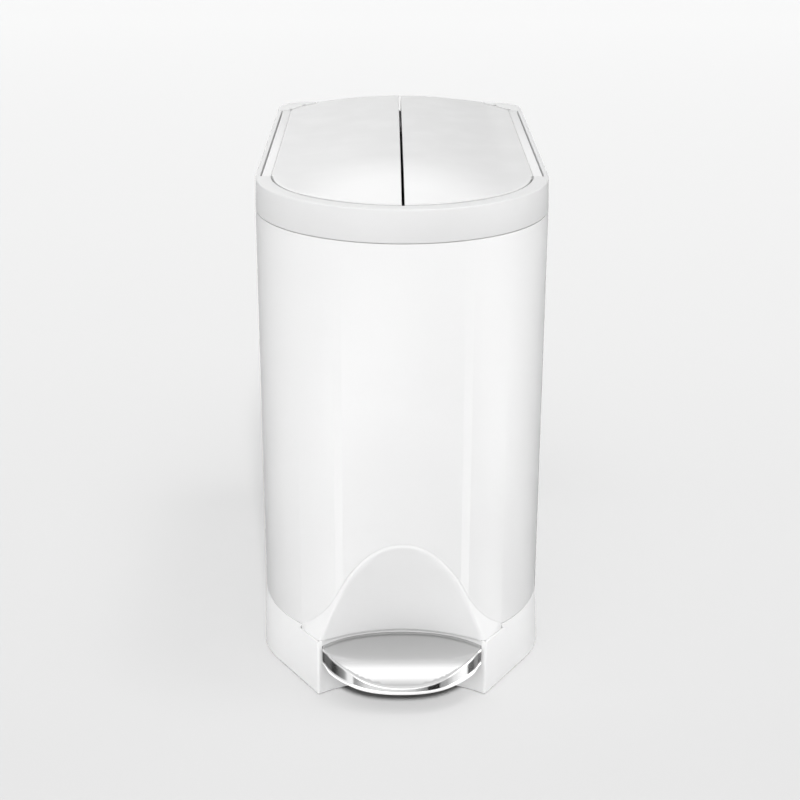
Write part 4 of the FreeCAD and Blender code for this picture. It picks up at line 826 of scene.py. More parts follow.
def rim_section(pts_o, pt_i, ztop, zin_low, r_out=1.0, r_in=0.3, k=5):
    """Closed section: outer point, inner point (plan), with rounded top edges."""
    o = np.asarray(pts_o, float)
    i = np.asarray(pt_i, float)
    d = i - o
    L = np.linalg.norm(d)
    d = d / L
    sec = []
    sec.append((0.25, RIM_LOW))
    sec.append((0.07, RIM_LOW + 0.07))
    sec.append((0.0, RIM_LOW + 0.25))
    for q in range(k + 1):
        t = 0.5 * math.pi * q / k
        zz = ztop - r_out + r_out * math.sin(t)
        sec.append((r_out - r_out * math.cos(t) + DRAFT * (zz - RIM_LOW) / (RIM_HIGH - RIM_LOW), zz))
    for q in range(k + 1):
        t = 0.5 * math.pi * q / k
        sec.append((L - r_in + r_in * math.sin(t), ztop - r_in + r_in * math.cos(t)))
    sec.append((L, zin_low + 0.1))
    sec.append((L - 0.1, zin_low))
    out = [(o[0] + d[0] * a, o[1] + d[1] * a, z) for a, z in sec]
    return out


cols = []
# front half ring: outer radius RB, inner RI, both ending at Y = YE
front_n = 240
for q in range(front_n + 1):
    f = q / front_n
    ao = 180 + aE + (180 - 2 * aE) * f
    ai_ = math.degrees(math.asin(-YE / RI))
    ai = 180 + ai_ + (180 - 2 * ai_) * f
    o = (RB * math.cos(math.radians(ao)), RB * math.sin(math.radians(ao)))
    i = (RI * math.cos(math.radians(ai)), RI * math.sin(math.radians(ai)))
    cols.append(rim_section(o, i, RIM_HIGH, 300.0))
W = 3.2


def side_sec(b, nn, ztop=RIM_HIGH, w=W):
    return rim_section(b, (b[0] - nn[0] * w, b[1] - nn[1] * w), ztop, 298.2)


right = []
for a in np.linspace(-aE, 0, 7):
    nn = (math.cos(math.radians(a)), math.sin(math.radians(a)))
    yy = RB * nn[1]
    inner = (math.sqrt((RB - W) ** 2 - yy * yy), yy)
    right.append(rim_section((RB * nn[0], RB * nn[1]), inner, RIM_HIGH, 298.2))
for y in np.r_[np.arange(12, 200, 14.0), RFY - 0.001]:
    right.append(side_sec((RB, y), (1, 0)))
# corner block
outer_c = [(RB, RFY), (RB, 208.0)]
outer_c += [(RB - RC + RC * math.cos(math.radians(a)), BACK - RC + RC * math.sin(math.radians(a))) for a in range(0, 91, 3)]
outer_c += [(63.5, BACK), (61.1, BACK)]
NC = 220
outer_c = resample(outer_c, NC)
blkN = resample(blk, NC)
RELIEF = [((78.75, 206.35 + d), 1.2) for d in (0.0, 1.3, 2.6)] + [((69.95, 223.75 + d), 1.2) for d in (0.0, 1.3, 2.6)]
RELIEF += [((61.75, 233.85 + d), 1.2) for d in (0.0, 0.8, 1.3)]


def relieve(o, i):
    """Moves the inner end of a column back behind any relief it crosses."""
    o, i = np.asarray(o, float), np.asarray(i, float)
    d = (o - i) / np.linalg.norm(o - i)
    far = 0.0
    for c, r in RELIEF:
        q = np.asarray(c) - i
        t = float(q @ d)
        h2 = float(q @ q) - t * t
        if h2 < r * r:
            far = max(far, t + math.sqrt(r * r - h2))
    return i + d * min(far, np.linalg.norm(o - i) - 1.8)


for o, i in zip(outer_c, blkN):
    right.append(rim_section(o, relieve(o, i), RIM_HIGH, 300.0, r_in=0.3))
# lowered back wall
right.append(rim_section((61.1, BACK), (61.1, BACK - W), RIM_HIGH, 298.2))
right.append(rim_section((60.7, BACK), (60.7, BACK - W), 305.5, 298.2, 0.4, 0.4))
right.append(rim_section((30.0, BACK), (30.0, BACK - W), 305.5, 298.2, 0.4, 0.4))
mid = [rim_section((0.0, BACK), (0.0, BACK - W), 305.5, 298.2, 0.4, 0.4)]
left = [[(-x, y, z) for x, y, z in c] for c in reversed(right)]
cols = cols + right + mid + left
s = Soup()
s.sweep(cols, closed=True)
# skirt inside the steel
Bq, Nq = outline_cols(3.0, 5.0, 30.0)
s.sweep([[(b[0] - nn[0] * o, b[1] - nn[1] * o, z) for o, z in wall_section(1.1, 3.4, 280.0, 293.0, 0.3, k=2)] for b, nn in zip(Bq, Nq)], closed=True)


def ledge_opening(r, back, rc):
    return np.concatenate([arc_pts((0, 0), r, 180, 360, 90), arc_pts((r - rc, back - rc), rc, 0, 90, 10),
                           arc_pts((-r + rc, back - rc), rc, 90, 180, 10)])


slots = []
for sx in (-1, 1):
    xa, xb_ = sorted((sx * 63.5, sx * 77.6))
    slots.append(np.array([(xa, 197.6), (xb_, 197.6), (xb_, 211.6), (xa, 211.6)]))
flat_plate(s, off_loop(2.6), [ledge_opening(77.0, 196.5, 6.0)] + slots, 298.0, 300.3)
for sx in (-1, 1):
    x0, x1 = sorted((sx * 79.4, sx * 85.2))
    add_box(s, x0, x1, -13.4, -6.35, 300.0, 311.3, 0.3)
rim = mk("rim_shell", s.v, s.f, M["rim"], "housing", ["top_rim"], ang=38)

# ------------------------------------------------------------------ wings
HX, HZ, HR = 80.75, 309.05, 2.45
CROWN, CH, CRUN = 4.85, 64.2, 112.0
WLOW, GAP, WR = 306.0, 0.8, 77.3


def crown(x, y):
    q = np.clip(1.0 - (np.asarray(x) / CH) ** 2, 0, None)
    t = np.clip((np.asarray(y) + 82.0) / CRUN, 0, 1)
    return CROWN * q ** 1.35 * np.sin(0.5 * math.pi * t)


XO = 78.2
YEW = YE + 1.3
wc = curve([(XO, 201.4), (77.85, 205.4), (74.2, 213.2), (68.6, 222.7), (63.4, 228.9), (58.8, 236.7)], 60)


def wing_outline():
    """Right wing, counter-clockwise, starting at the slit's front end."""
    a0 = math.degrees(math.asin(GAP / WR))
    a1 = math.degrees(math.acos(-YEW / WR))
    fr = np.array([(WR * math.sin(math.radians(a)), -WR * math.cos(math.radians(a))) for a in np.linspace(a0, a1, 110)])
    segs = [fr, lin_pts(fr[-1], (XO, YEW), 3)[1:], lin_pts((XO, YEW), (XO, 201.4), 90)[1:], wc[1:],
            lin_pts((58.8, 236.7), (GAP, 236.7), 40)[1:], lin_pts((GAP, 236.7), (GAP, fr[0, 1]), 130)[1:-1]]
    return np.concatenate(segs)


def round_corners(p, r, ang=25.0):
    """Rounds sharp corners of a closed, finely sampled loop."""
    n = len(p)
    out = []
    d = np.roll(p, -1, 0) - p
    L = np.linalg.norm(d, axis=1)
    u = d / L[:, None]
    sharp = []
    for i in range(n):
        a, b = u[i - 1], u[i]
        t = math.degrees(math.acos(max(-1, min(1, float(a @ b)))))
        if t > ang:
            sharp.append((i, t))
    skip = set()
    ins = {}
    for i, t in sharp:
        tr = r * math.tan(math.radians(t) / 2)
        # walk back and forward by tr
        def walk(step):
            rem, j = tr, i
            while True:
                k = (j + step) % n
                seg = np.linalg.norm(p[k] - p[j])
                if seg >= rem:
                    return p[j] + (p[k] - p[j]) * rem / seg, j
                rem -= seg
                j = k
                skip.add(j)
        a, _ = walk(-1)
        b, _ = walk(1)
        tt = np.linspace(0, 1, 8)[:, None]
        ins[i] = (1 - tt) ** 2 * a + 2 * tt * (1 - tt) * p[i] + tt ** 2 * b
        skip.add(i)
    for i in range(n):
        if i in ins:
            out.extend(list(ins[i]))
        elif i not in skip:
            out.append(p[i])
    return np.array(out)


WOUT = round_corners(wing_outline(), 0.9)


def loop_in(p, o):
    d = np.roll(p, -1, 0) - np.roll(p, 1, 0)
    d /= np.linalg.norm(d, axis=1)[:, None]
    nrm = np.stack([-d[:, 1], d[:, 0]], 1)       # inwards for a counter-clockwise loop
    return p + nrm * o


def hollow_radius(y):
    """Radius about the hinge axis that the rear corner keeps clear of."""
    if y < 201.3 or y > 213.2:
        return 0.0
    return float(np.interp(y, [201.3, 205.2, 209.5, 213.2], [3.74, 3.74, 4.82, 6.62]))


def wing_mesh(sx):
    s = Soup()
    r = 0.45
    loops = []
    # skirt from the lower edge up
    zs = [(0.25, WLOW), (0.07, WLOW + 0.07), (0.0, WLOW + 0.25)]
    top_r = 311.5 - r
    for z in (WLOW + 1.2, WLOW + 2.2, WLOW + 3.2, WLOW + 4.0, top_r):
        zs.append((0.0, z))
    for o, z in zs:
        L = loop_in(WOUT, o)
        zz = np.full(len(L), z)
        if z >= top_r - 1e-6:
            zz = 311.5 - r + crown(WOUT[:, 0], WOUT[:, 1])
        else:
            f = (z - WLOW) / (top_r - WLOW)
            zz = WLOW + f * (top_r - WLOW + crown(WOUT[:, 0], WOUT[:, 1]))
        X = L[:, 0].copy()
        for i, (x, y) in enumerate(WOUT):
            hr = hollow_radius(y)
            if hr > 0 and x > 66:
                q = hr * hr - (zz[i] - HZ) ** 2
                if q > 0:
                    X[i] = min(X[i], HX - math.sqrt(q))
        loops.append(np.stack([X, L[:, 1], zz], 1))
    for k in range(1, 7):
        t = 0.5 * math.pi * k / 6
        o = r - r * math.cos(t)
        L = loop_in(WOUT, o)
        zz = 311.5 + crown(L[:, 0], L[:, 1]) - r + r * math.sin(t)
        loops.append(np.stack([L[:, 0], L[:, 1], zz], 1))
    m = len(WOUT)
    verts = np.concatenate(loops)
    faces = []
    for a in range(len(loops) - 1):
        for i in range(m):
            j = (i + 1) % m
            faces.append((a * m + i, a * m + j, (a + 1) * m + j, (a + 1) * m + i))
    s.add(verts, faces)
    # top skin
    bl = loops[-1][:, :2]

    def skin(bl, zf):
        pts = [Vector(map(float, p)) for p in bl]
        ed = [(i, (i + 1) % len(pts)) for i in range(len(pts))]
        gx, gy = np.meshgrid(np.arange(2.2, 78, 2.4), np.arange(-76, 236, 3.0))
        gx, gy = gx.ravel(), gy.ravel()
        ok = in_poly(gx, gy, bl)
        gx, gy = gx[ok], gy[ok]
        ok = dist_poly(gx, gy, bl[::2]) > 0.9
        gx, gy = gx[ok], gy[ok]
        vo, eo, fo, _a, _b, _c = delaunay_2d_cdt(pts + [Vector((float(a), float(b))) for a, b in zip(gx, gy)], ed, [], 1, 1e-7)
        vo = np.array([tuple(v) for v in vo])
        return [(x, y, float(zf(x, y))) for x, y in vo], [tuple(f) for f in fo]
    v, f = skin(bl, lambda x, y: 311.5 + crown(x, y))
    s.add(v, f)
    # inside: lower lip, wall and ceiling
    li = [loops[0], np.column_stack([loop_in(WOUT, 1.35), np.full(m, WLOW)]), np.column_stack([loop_in(WOUT, 1.6), np.full(m, WLOW + 0.25)])]
    Li = loop_in(WOUT, 1.6)
    li.append(np.column_stack([Li, 309.9 + crown(Li[:, 0], Li[:, 1])]))
    verts = np.concatenate(li)
    faces = []
    for a in range(len(li) - 1):
        for i in range(m):
            j = (i + 1) % m
            faces.append((a * m + j, a * m + i, (a + 1) * m + i, (a + 1) * m + j))
    s.add(verts, faces)
    v, f = skin(Li, lambda x, y: 309.9 + crown(x, y))
    s.add(v, [tuple(reversed(q)) for q in f])
    v = np.array(s.v)
    f = s.f
    if sx < 0:
        v[:, 0] *= -1
        f = [tuple(reversed(q)) for q in f]
    return v, f


for sx, nm, body in ((1, "right", "wing_right"), (-1, "left", "wing_left")):
    v, f = wing_mesh(sx)
    mk(nm + "_wing_shell", v, f, M["wing"], body, [nm + "_wing"], ang=45, merge=1e-6)
    # hinge strip: bar with rounded edges
    s = Soup()
    prof = []
    x0, x1 = 78.27, 83.7
    zt, zb = HZ + HR, HZ - HR
    for cx_, cz_, r, a0 in ((x0, zb, 0.15, 180), (x1, zb, 0.4, 270), (x1, zt, 0.4, 0), (x0, zt, 0.15, 90)):
        ax = cx_ + r if cx_ == x0 else cx_ - r
        az = cz_ + r if cz_ == zb else cz_ - r
        for q in range(6):
            t = math.radians(a0 + 90 * q / 5)
            prof.append((ax + r * math.cos(t), az + r * math.sin(t)))
    prof = np.array(prof)
    c0 = prof.mean(0)
    y0, y1 = YE + 1.0, RFY - 1.0
    cols = []
    for y, k in ((y0, 0.35), (y0 + 0.1, 0.12), (y0 + 0.35, 0.0), (y1 - 0.35, 0.0), (y1 - 0.1, 0.12), (y1, 0.35)):
        g = prof - c0
        sc = 1 - k / np.linalg.norm(g, axis=1)
        pp = c0 + g * sc[:, None]
        cols.append([(sx * a, y, b) for a, b in pp])
    s.sweep(cols, closed=False)
    mk(nm + "_strip_bar", s.v, s.f, M["strip"], body, [nm + "_hinge_strip"], ang=40)

# ------------------------------------------------------------------ pedal
RP, YC, ZC = 45.76, -64.68, 35.2 - 45.76
# where the brushed top ends, seen from above: from the right end to the middle
ped_half = [(48.6, -78.9), (47.05, -80.3), (44.75, -83.1), (40.65, -87.2), (35.1, -91.2), (28.3, -95.2), (20.3, -98.1), (10.6, -99.8), (0.0, -100.3)]
LIPY = np.array([77.0, 79.3, 80.8, 84.2, 87.2, 91.5, 95.1, 97.9, 100.9, 102.5])
LIPZ = np.array([24.3, 22.4, 21.3, 19.0, 17.8, 16.3, 15.4, 14.5, 13.6, 13.2])
NP = 241
te = curve([(-x, y) for x, y in ped_half] + [(x, y) for x, y in reversed(ped_half[:-1])], NP)
d = np.gradient(te, axis=0)
d /= np.linalg.norm(d, axis=1)[:, None]
nout = np.stack([d[:, 1], -d[:, 0]], 1)
if nout[NP // 2, 1] > 0:
    nout = -nout
run = np.r_[0, np.cumsum(np.linalg.norm(np.diff(te, axis=0), axis=1))]
flare = np.clip(np.minimum(run, run[-1] - run) / 9.0, 0, 1)
flare = 0.35 + 0.65 * flare * flare * (3 - 2 * flare)


def top_z(x, y, dr=0.0):
    return ZC + np.sqrt((RP - dr) ** 2 - (np.asarray(y) - YC) ** 2)


def ring(off, z):
    """Flange line: offset outwards from the top's edge, at height z."""
    return np.column_stack([te + nout * np.asarray(off).reshape(-1, 1), z])


ones = np.ones(NP)
FACE = 0.42
zl = np.interp(-(te + nout * 0.6)[:, 1], LIPY, LIPZ)
zt_ = top_z(0, te[:, 1])
zc_ = top_z(0, (te + nout * FACE)[:, 1])
ROWS = []
# fine groove round the brushed top, then the rounded edge
GRV = 0.2
for o, z in ((0.0, 0.0), (0.03, -0.16), (0.08, -0.24), (0.13, -0.24), (0.18, -0.14), (GRV, -0.03)):
    ROWS.append(ring(o * ones, zt_ + z))
for t in np.linspace(0, 1, 7)[1:]:
    o = GRV + (2 * t * (1 - t) + t * t) * (FACE - GRV)
    z = (1 - t) ** 2 * (zt_ - 0.03) + 2 * t * (1 - t) * zc_ + t * t * (zc_ - 0.4)
    ROWS.append(ring(o * ones, z))
for t in np.linspace(0.2, 1, 5):
    ROWS.append(ring(FACE * ones, (zc_ - 0.4) * (1 - t) + (zl + 1.35) * t))
# lower edge curled outwards, then back to the inside of the sheet
for o, z in ((0.02, 1.1), (0.09, 0.85), (0.2, 0.64), (0.33, 0.48), (0.44, 0.36), (0.5, 0.26), (0.51, 0.16), (0.46, 0.07), (0.36, 0.01), (0.22, 0.0)):
    ROWS.append(ring(FACE + o * flare, zl + z))
for o, z in ((-0.5, 0.18), (-0.95, 0.55), (-1.15, 1.1), (-1.2, 1.8)):
    ROWS.append(ring((FACE + o) * ones, zl + z))
ROWS.append(ring((FACE - 1.2) * ones, top_z(0, te[:, 1], 1.2) - 0.02))
cols = [[tuple(r[i]) for r in ROWS] for i in range(NP)]
s = Soup()
s.sweep([c[:12] for c in cols], closed=False, caps=False, ring=False, m=0)
s.sweep([c[11:] for c in cols], closed=False, caps=False, ring=False, m=1)
nr = len(ROWS)
s.add(cols[0], [tuple(range(nr))], 1)
s.add(cols[-1], [tuple(reversed(range(nr)))], 1)
# top skin and its underside, triangulated in X-Y and lifted on the cylinder
rear_y = -56.2
bd = te
side = np.concatenate([lin_pts(te[-1], (48.75, -75.5), 3)[:-1], lin_pts((48.75, -75.5), (48.75, rear_y), 13)])
rear = lin_pts((48.75, rear_y), (-48.75, rear_y), 40)
side2 = np.concatenate([lin_pts((-48.75, rear_y), (-48.75, -75.5), 13)[:-1], lin_pts((-48.75, -75.5), te[0], 3)])
loop = np.concatenate([bd, side[1:], rear[1:], side2[1:-1]])
pts = [Vector(map(float, p)) for p in loop]
ed = [(i, (i + 1) % len(pts)) for i in range(len(pts))]
gx, gy = np.meshgrid(np.arange(-48, 48.1, 2.0), np.arange(-100, -56.5, 1.2))
gx, gy = gx.ravel(), gy.ravel()
okk = in_poly(gx, gy, loop)
gx, gy = gx[okk], gy[okk]
okk = dist_poly(gx, gy, loop[::2]) > 0.6
gx, gy = gx[okk], gy[okk]
vo, eo, fo, _a, _b, _c = delaunay_2d_cdt(pts + [Vector((float(a), float(b))) for a, b in zip(gx, gy)], ed, [], 1, 1e-7)
vo = np.array([tuple(v) for v in vo])
s.add([(x, y, float(top_z(x, y))) for x, y in vo], [tuple(f) for f in fo], 0)
s.add([(x, y, float(top_z(x, y, 1.2))) for x, y in vo], [tuple(reversed(f)) for f in fo], 0)
# edges of the part that runs back under the panel
back_ = np.concatenate([side, rear[1:], side2[1:]])
rr = [(x, y, float(top_z(x, y))) for x, y in back_]
rb = [(x, y, float(top_z(x, y, 1.2))) for x, y in back_]
k = len(rr)
s.add(rr + rb, [(i, i + 1, k + i + 1, k + i) for i in range(k - 1)], 0)
pedal = mk("pedal_tread", s.v, s.f, [M["brushed"], M["polished"]], "pedal", ["pedal_plate"], ang=50, mat_index=s.m,
           merge=1e-5, recalc=False)
bm = bmesh.new()
bm.from_mesh(pedal.data)
bmesh.ops.recalc_face_normals(bm, faces=bm.faces)
bm.to_mesh(pedal.data)
bm.free()
pedal.data.set_sharp_from_angle(angle=math.radians(50))

# ---------------------------------------------------------- carried CAD nodes
CAD_MAT = {
    "bottom_cover": "cover", "inner_bucket": "bucket", "mechanism_cover": "cover", "rod_guides": "nylon", "deck_bushes": "nylon",
    "damper_cylinder": "alu", "pedal_axle": "zinc", "lever_stop": "rubber", "feet": "rubber", "cover_screws": "zinc",
    "lid_buffers": "rubber", "front_hinge_pins": "zinc", "rear_hinge_pins": "zinc", "pedal_bracket": "nylon", "pedal_lever": "zinc",
    "lever_bushes": "nylon", "pedal_rivets": "zinc", "lever_tip_pad": "nylon", "lift_crossbar": "zinc", "lift_rod_left": "rod",
    "lift_rod_right": "rod", "yoke_left": "nylon", "yoke_right": "nylon", "damper_rod": "rod", "left_wing_liner": "liner",
    "right_wing_liner": "liner", "left_crank": "liner", "right_crank": "liner", "left_crank_pin": "zinc", "right_crank_pin": "zinc",
}
for nm, key in CAD_MAT.items():
    ob = NODES[nm]
    ob.data.materials.clear()
    ob.data.materials.append(M[key])

# ------------------------------------------------------------------ stage
fl = bpy.data.materials.new("studio_floor")
nt = clear(fl)
p = principled(nt, Roughness=0.9, Specular_IOR_Level=0.0)
tc = nt.nodes.new("ShaderNodeTexCoord")
sp = nt.nodes.new("ShaderNodeSeparateXYZ")
link(nt, tc.outputs["Object"], sp.inputs["Vector"])
cr = nt.nodes.new("ShaderNodeValToRGB")
link(nt, ramp(nt, sp.outputs["Y"], -0.4, 3.6, 0.0, 1.0), cr.inputs["Fac"])
# painted light: the floor's colour grows lighter towards the back and darker towards the front, a light falloff painted
# into the floor
FLOOR_PAINTED_FALLOFF = [(-0.40, 0.800), (-0.20, 0.805), (0.0, 0.830), (0.2, 0.850), (0.5, 0.875), (1.0, 0.900), (1.8, 0.930), (2.9, 0.975), (3.6, 0.98)]
el = cr.color_ramp.elements
while len(el) > 1:
    el.remove(el[-1])
FK = 0.298
el[0].position, el[0].color = 0.0, (*grey(FLOOR_PAINTED_FALLOFF[0][1] * FK), 1)
for y, v in FLOOR_PAINTED_FALLOFF[1:]:
    e = el.new((y + 0.4) / 4.0)
    e.color = (*grey(v * FK), 1)
link(nt, cr.outputs["Color"], p.inputs["Base Color"])
me = bpy.data.meshes.new("floor")
L = 14.0
me.from_pydata([(-L, -L, 0), (L, -L, 0), (L, L, 0), (-L, L, 0)], [], [(0, 1, 2, 3)])
me.materials.append(fl)
floor = bpy.data.objects.new("floor", me)
bpy.context.scene.collection.objects.link(floor)
floor.visible_glossy = False

# camera
cam = bpy.data.cameras.new("camera")
cam.sensor_width = 36.0
cam.lens = 71.81
cam.clip_start, cam.clip_end = 0.01, 100.0
pit, yaw, rol = math.radians(20.881), math.radians(0.436), math.radians(0.144)
F = Vector((math.sin(yaw) * math.cos(pit), math.cos(yaw) * math.cos(pit), -math.sin(pit)))
Rr = Vector((math.cos(yaw), -math.sin(yaw), 0))
U = Rr.cross(F)
R2 = math.cos(rol) * Rr + math.sin(rol) * U
U2 = -math.sin(rol) * Rr + math.cos(rol) * U
co = bpy.data.objects.new("camera", cam)
pos = Vector((-8.1, -941.5 + PY, 525.7)) / 1000.0
co.matrix_world = Matrix(((R2.x, U2.x, -F.x, pos.x), (R2.y, U2.y, -F.y, pos.y), (R2.z, U2.z, -F.z, pos.z), (0, 0, 0, 1)))
bpy.context.scene.collection.objects.link(co)
bpy.context.scene.camera = co


# light
def area(name, loc, target, size, size_y, power, spread=180.0, glossy=True, diffuse=True):
    li = bpy.data.lights.new(name, "AREA")
    li.shape = "RECTANGLE"
    li.size, li.size_y, li.energy = size, size_y, power
    li.spread = math.radians(spread)
    ob = bpy.data.objects.new(name, li)
    ob.location = loc
    d = Vector(target) - Vector(loc)
    ob.rotation_euler = d.to_track_quat("-Z", "Y").to_euler()
    bpy.context.scene.collection.objects.link(ob)
    ob.visible_glossy = glossy
    ob.visible_diffuse = diffuse
    ob.visible_camera = False
    return ob


area("key_right", (0.95, 0.0, 2.9), (0.0, 0.0, 0.1), 0.9, 0.6, 9.0, glossy=False)


def broad(name, to_light, strength, angle):
    li = bpy.data.lights.new(name, "SUN")
    li.energy = strength
    li.angle = math.radians(angle)
    ob = bpy.data.objects.new(name, li)
    ob.rotation_euler = Vector(to_light).to_track_quat("Z", "Y").to_euler()
    bpy.context.scene.collection.objects.link(ob)
    ob.visible_glossy = False
    return ob


broad("top_front", (0.06, -0.42, 0.90), 0.94, 50.0)
# two lamps for the floor alone: low from the front, and from the right
only = bpy.data.collections.new("floor_only")
only.objects.link(floor)
broad("floor_front", (0.03, -0.777, 0.6293), 10.98, 9.0).light_linking.receiver_collection = only
broad("floor_right", (0.28, 0.0, 0.96), 0.46, 12.0).light_linking.receiver_collection = only

world = bpy.data.worlds.new("studio")
bpy.context.scene.world = world
world.use_nodes = True
wn = world.node_tree
wn.nodes.clear()
wo = wn.nodes.new("ShaderNodeOutputWorld")
bg = wn.nodes.new("ShaderNodeBackground")
link(wn, bg.outputs["Background"], wo.inputs["Surface"])
wt = wn.nodes.new("ShaderNodeTexCoord")
nz = wn.nodes.new("ShaderNodeVectorMath")
nz.operation = "NORMALIZE"
link(wn, wt.outputs["Generated"], nz.inputs[0])
ws = wn.nodes.new("ShaderNodeSeparateXYZ")
link(wn, nz.outputs["Vector"], ws.inputs["Vector"])


def wmath(op, a, b=None, clamp=False):
    m = wn.nodes.new("ShaderNodeMath")
    m.operation = op
    m.use_clamp = clamp
    for k, q in enumerate((a, b)):
        if q is None:
            continue
        if isinstance(q, (int, float)):
            m.inputs[k].default_value = q
        else:
            link(wn, q, m.inputs[k])
    return m.outputs[0]


def table(x, lo, hi, pts, top):
    """Smooth table of values over x, scaled to 0..1 of the ramp."""
    t = ramp(wn, x, lo, hi, 0.0, 1.0)
    c = wn.nodes.new("ShaderNodeValToRGB")
    link(wn, t, c.inputs["Fac"])
    c.color_ramp.interpolation = "EASE"
    e = c.color_ramp.elements
    while len(e) > 1:
        e.remove(e[-1])
    for k, (q, v) in enumerate(pts):
        f = (q - lo) / (hi - lo)
        if k == 0:
            e[0].position = f
            e[0].color = (*grey(v / top), 1)
        else:
            n_ = e.new(f)
            n_.color = (*grey(v / top), 1)
    b = wn.nodes.new("ShaderNodeSeparateColor")
    link(wn, c.outputs["Color"], b.inputs["Color"])
    return wmath("MULTIPLY", b.outputs[0], top)


az = wmath("MULTIPLY", wmath("ARCTAN2", ws.outputs["X"], wmath("MULTIPLY", ws.outputs["Y"], -1.0)), 180.0 / math.pi)
elv = wmath("MULTIPLY", wmath("ARCSINE", ws.outputs["Z"]), 180.0 / math.pi)
# below the horizon: only glossy rays see it, because the floor hides it from everything else
LOW_AZ = [(-180, 0.05), (-135, 0.05), (-112, 0.45), (-95, 0.8), (-60, 1.0), (-48, 2.2), (-30, 2.9), (-10, 2.6), (5, 1.9), (25, 1.3), (45, 1.2),
          (58, 2.0), (72, 2.4), (88, 2.0), (104, 0.9), (118, 0.35), (140, 0.05), (180, 0.05)]
low = table(az, -180.0, 180.0, LOW_AZ, 3.2)
# straight down the same for every direction
down = table(elv, -90.0, 0.0, [(-90, 1.0), (-62, 1.0), (-44, 0.0), (0, 0.0)], 1.0)
mixn = wn.nodes.new("ShaderNodeMix")
link(wn, down, mixn.inputs["Factor"])
link(wn, low, mixn.inputs["A"])
mixn.inputs["B"].default_value = 0.35
low = mixn.outputs["Result"]


def blob(base, azd, eld, rad, soft, depth):
    """Darkens (depth > 0) a round patch of the surroundings."""
    a, e = math.radians(azd), math.radians(eld)
    c = (math.sin(a) * math.cos(e), -math.cos(a) * math.cos(e), math.sin(e))
    d = wn.nodes.new("ShaderNodeVectorMath")
    d.operation = "DOT_PRODUCT"
    link(wn, nz.outputs["Vector"], d.inputs[0])
    d.inputs[1].default_value = c
    ang = wmath("MULTIPLY", wmath("ARCCOSINE", wmath("MINIMUM", d.outputs["Value"], 0.99999)), 180.0 / math.pi)
    k = ramp(wn, ang, rad - soft, rad + soft, 1.0 - depth, 1.0)
    return wmath("MULTIPLY", base, k)


# the steeper band, which the pedal's flange reflects: boxes, gaps between them, one black stand
FLANGE_AZ = [(-180, 0.12), (-122, 0.11), (-104, 0.12), (-95, 0.10), (-89, 0.03), (-82, 0.02), (-77, 0.08), (-73, 0.15), (-69, 0.24),
             (-65.5, 1.0), (-59.5, 1.05), (-55, 0.34), (-49, 0.36), (-42, 0.5), (-34, 0.72), (-28, 0.80), (-8, 0.80), (7, 0.66), (13, 0.44),
             (18, 0.32), (21, 0.28), (22, 0.005), (36.5, 0.005), (39, 0.36), (51, 0.44), (57, 0.62), (66, 0.9), (72, 1.15), (77.5, 1.15), (82.5, 0.07), (97, 0.07),
             (103, 0.25), (115, 0.36), (125, 0.36), (180, 0.2)]
keys = []
for q, v in FLANGE_AZ:
    keys.append((q, v))
fa = table(az, -180.0, 0.0, [k_ for k_ in keys if k_[0] <= 0] + [(0, 0.76)], 1.5)
fb = table(az, 0.0, 180.0, [(0, 0.76)] + [k_ for k_ in keys if k_[0] > 0], 1.5)
side_ = ramp(wn, az, -0.5, 0.5, 0.0, 1.0)
fm = wn.nodes.new("ShaderNodeMix")
link(wn, side_, fm.inputs["Factor"])
link(wn, fa, fm.inputs["A"])
link(wn, fb, fm.inputs["B"])
band = table(elv, -90.0, 0.0, [(-90, 0.0), (-41, 0.0), (-37, 1.0), (-29.5, 1.0), (-28.7, 0.0), (0, 0.0)], 1.0)
fx = wn.nodes.new("ShaderNodeMix")
link(wn, band, fx.inputs["Factor"])
link(wn, low, fx.inputs["A"])
link(wn, fm.outputs["Result"], fx.inputs["B"])
low = fx.outputs["Result"]
# above the horizon: a low wide front box, a narrow strip over the pedal, a band low at the back for the lid
UPK = 0.86
UP_AZ = [(-180, 0.9), (-120, 1.2), (-85, 1.55), (-45, 1.2), (-20, 1.0), (20, 1.0), (45, 1.1), (85, 1.3), (120, 1.1), (180, 0.9)]
UP_FRONT = [(0, 1.55), (26, 1.45), (36, 1.1), (45, 1.0), (50, 1.1), (56, 1.35), (63, 2.2), (71, 2.4), (77, 2.0), (82, 1.5), (87, 1.1), (90, 0.9)]
UP_EL = [(0, 0.56), (11, 0.57), (15.6, 0.64), (17.8, 1.8), (23, 1.75), (28, 0.7), (40, 0.40), (75, 0.50), (90, 0.9)]
BACK_AZ = [(0, 0.9), (120, 0.85), (150, 0.70), (168, 0.60), (174, 0.76), (178, 0.96), (180, 1.04)]
BACKMIX = [(-1.0, 0.0), (-0.06, 0.0), (0.06, 1.0), (1.0, 1.0)]
upa = table(az, -180.0, 180.0, UP_AZ, 2.0)
upf = table(elv, 0.0, 90.0, UP_FRONT, 3.0)
spread = wmath("MULTIPLY", wmath("SUBTRACT", 180.0, wmath("ABSOLUTE", az)), 0.11)
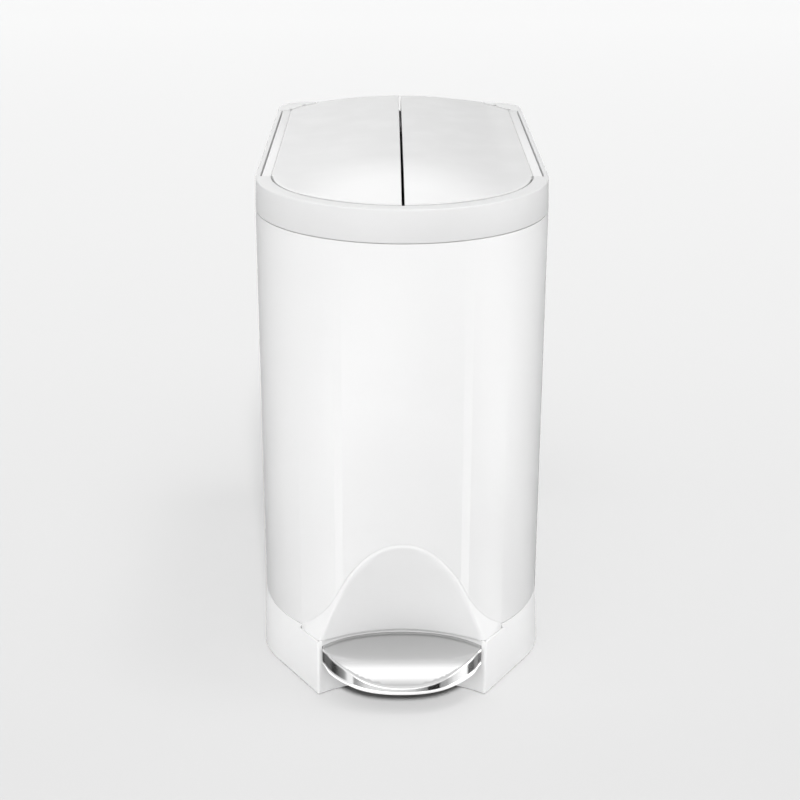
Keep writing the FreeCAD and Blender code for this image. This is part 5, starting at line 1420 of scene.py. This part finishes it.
back = table(wmath("ADD", elv, wmath("MINIMUM", spread, 4.0)), 0.0, 90.0, UP_EL, 2.6)
# brighter to the left of straight behind
rside = table(az, 0.0, 180.0, BACK_AZ, 1.3)
lside = table(az, -180.0, 0.0, [(-180, 1.04), (-174, 1.2), (-162, 1.36), (-145, 1.2), (-120, 0.9), (0, 0.9)], 1.3)
bm_ = wn.nodes.new("ShaderNodeMix")
link(wn, ramp(wn, az, -0.5, 0.5, 0.0, 1.0), bm_.inputs["Factor"])
link(wn, lside, bm_.inputs["A"])
link(wn, rside, bm_.inputs["B"])
back = wmath("MULTIPLY", back, bm_.outputs["Result"])
isback = table(ws.outputs["Y"], -1.0, 1.0, BACKMIX, 1.0)
mixb = wn.nodes.new("ShaderNodeMix")
link(wn, isback, mixb.inputs["Factor"])
link(wn, wmath("MULTIPLY", upa, upf), mixb.inputs["A"])
link(wn, back, mixb.inputs["B"])
up = wmath("MULTIPLY", mixb.outputs["Result"], UPK)
hor = ramp(wn, ws.outputs["Z"], -0.03, 0.03, 0.0, 1.0)
mixh = wn.nodes.new("ShaderNodeMix")
link(wn, hor, mixh.inputs["Factor"])
link(wn, low, mixh.inputs["A"])
link(wn, up, mixh.inputs["B"])
bg.inputs["Color"].default_value = (1, 1, 1, 1)
lpath = wn.nodes.new("ShaderNodeLightPath")
DIFF = 0.64
dim = wmath("SUBTRACT", 1.0, wmath("MULTIPLY", lpath.outputs["Is Diffuse Ray"], 1.0 - DIFF))
link(wn, wmath("MULTIPLY", mixh.outputs["Result"], dim), bg.inputs["Strength"])

bpy.context.scene.view_settings.view_transform = "Standard"
bpy.context.scene.view_settings.look = "None"

# low lamps either side for the bin alone
bin_only = bpy.data.collections.new("bin_only")
for ob in bpy.data.objects:
    if ob.type == "MESH" and ob is not floor:
        bin_only.objects.link(ob)
for nm, x, pw in (("low_left", -0.50, 0.24), ("low_right", 0.50, 0.17)):
    area(nm, (x, -0.30, 0.05), (0.0, -0.02, 0.06), 0.3, 0.08, pw, glossy=False).light_linking.receiver_collection = bin_only
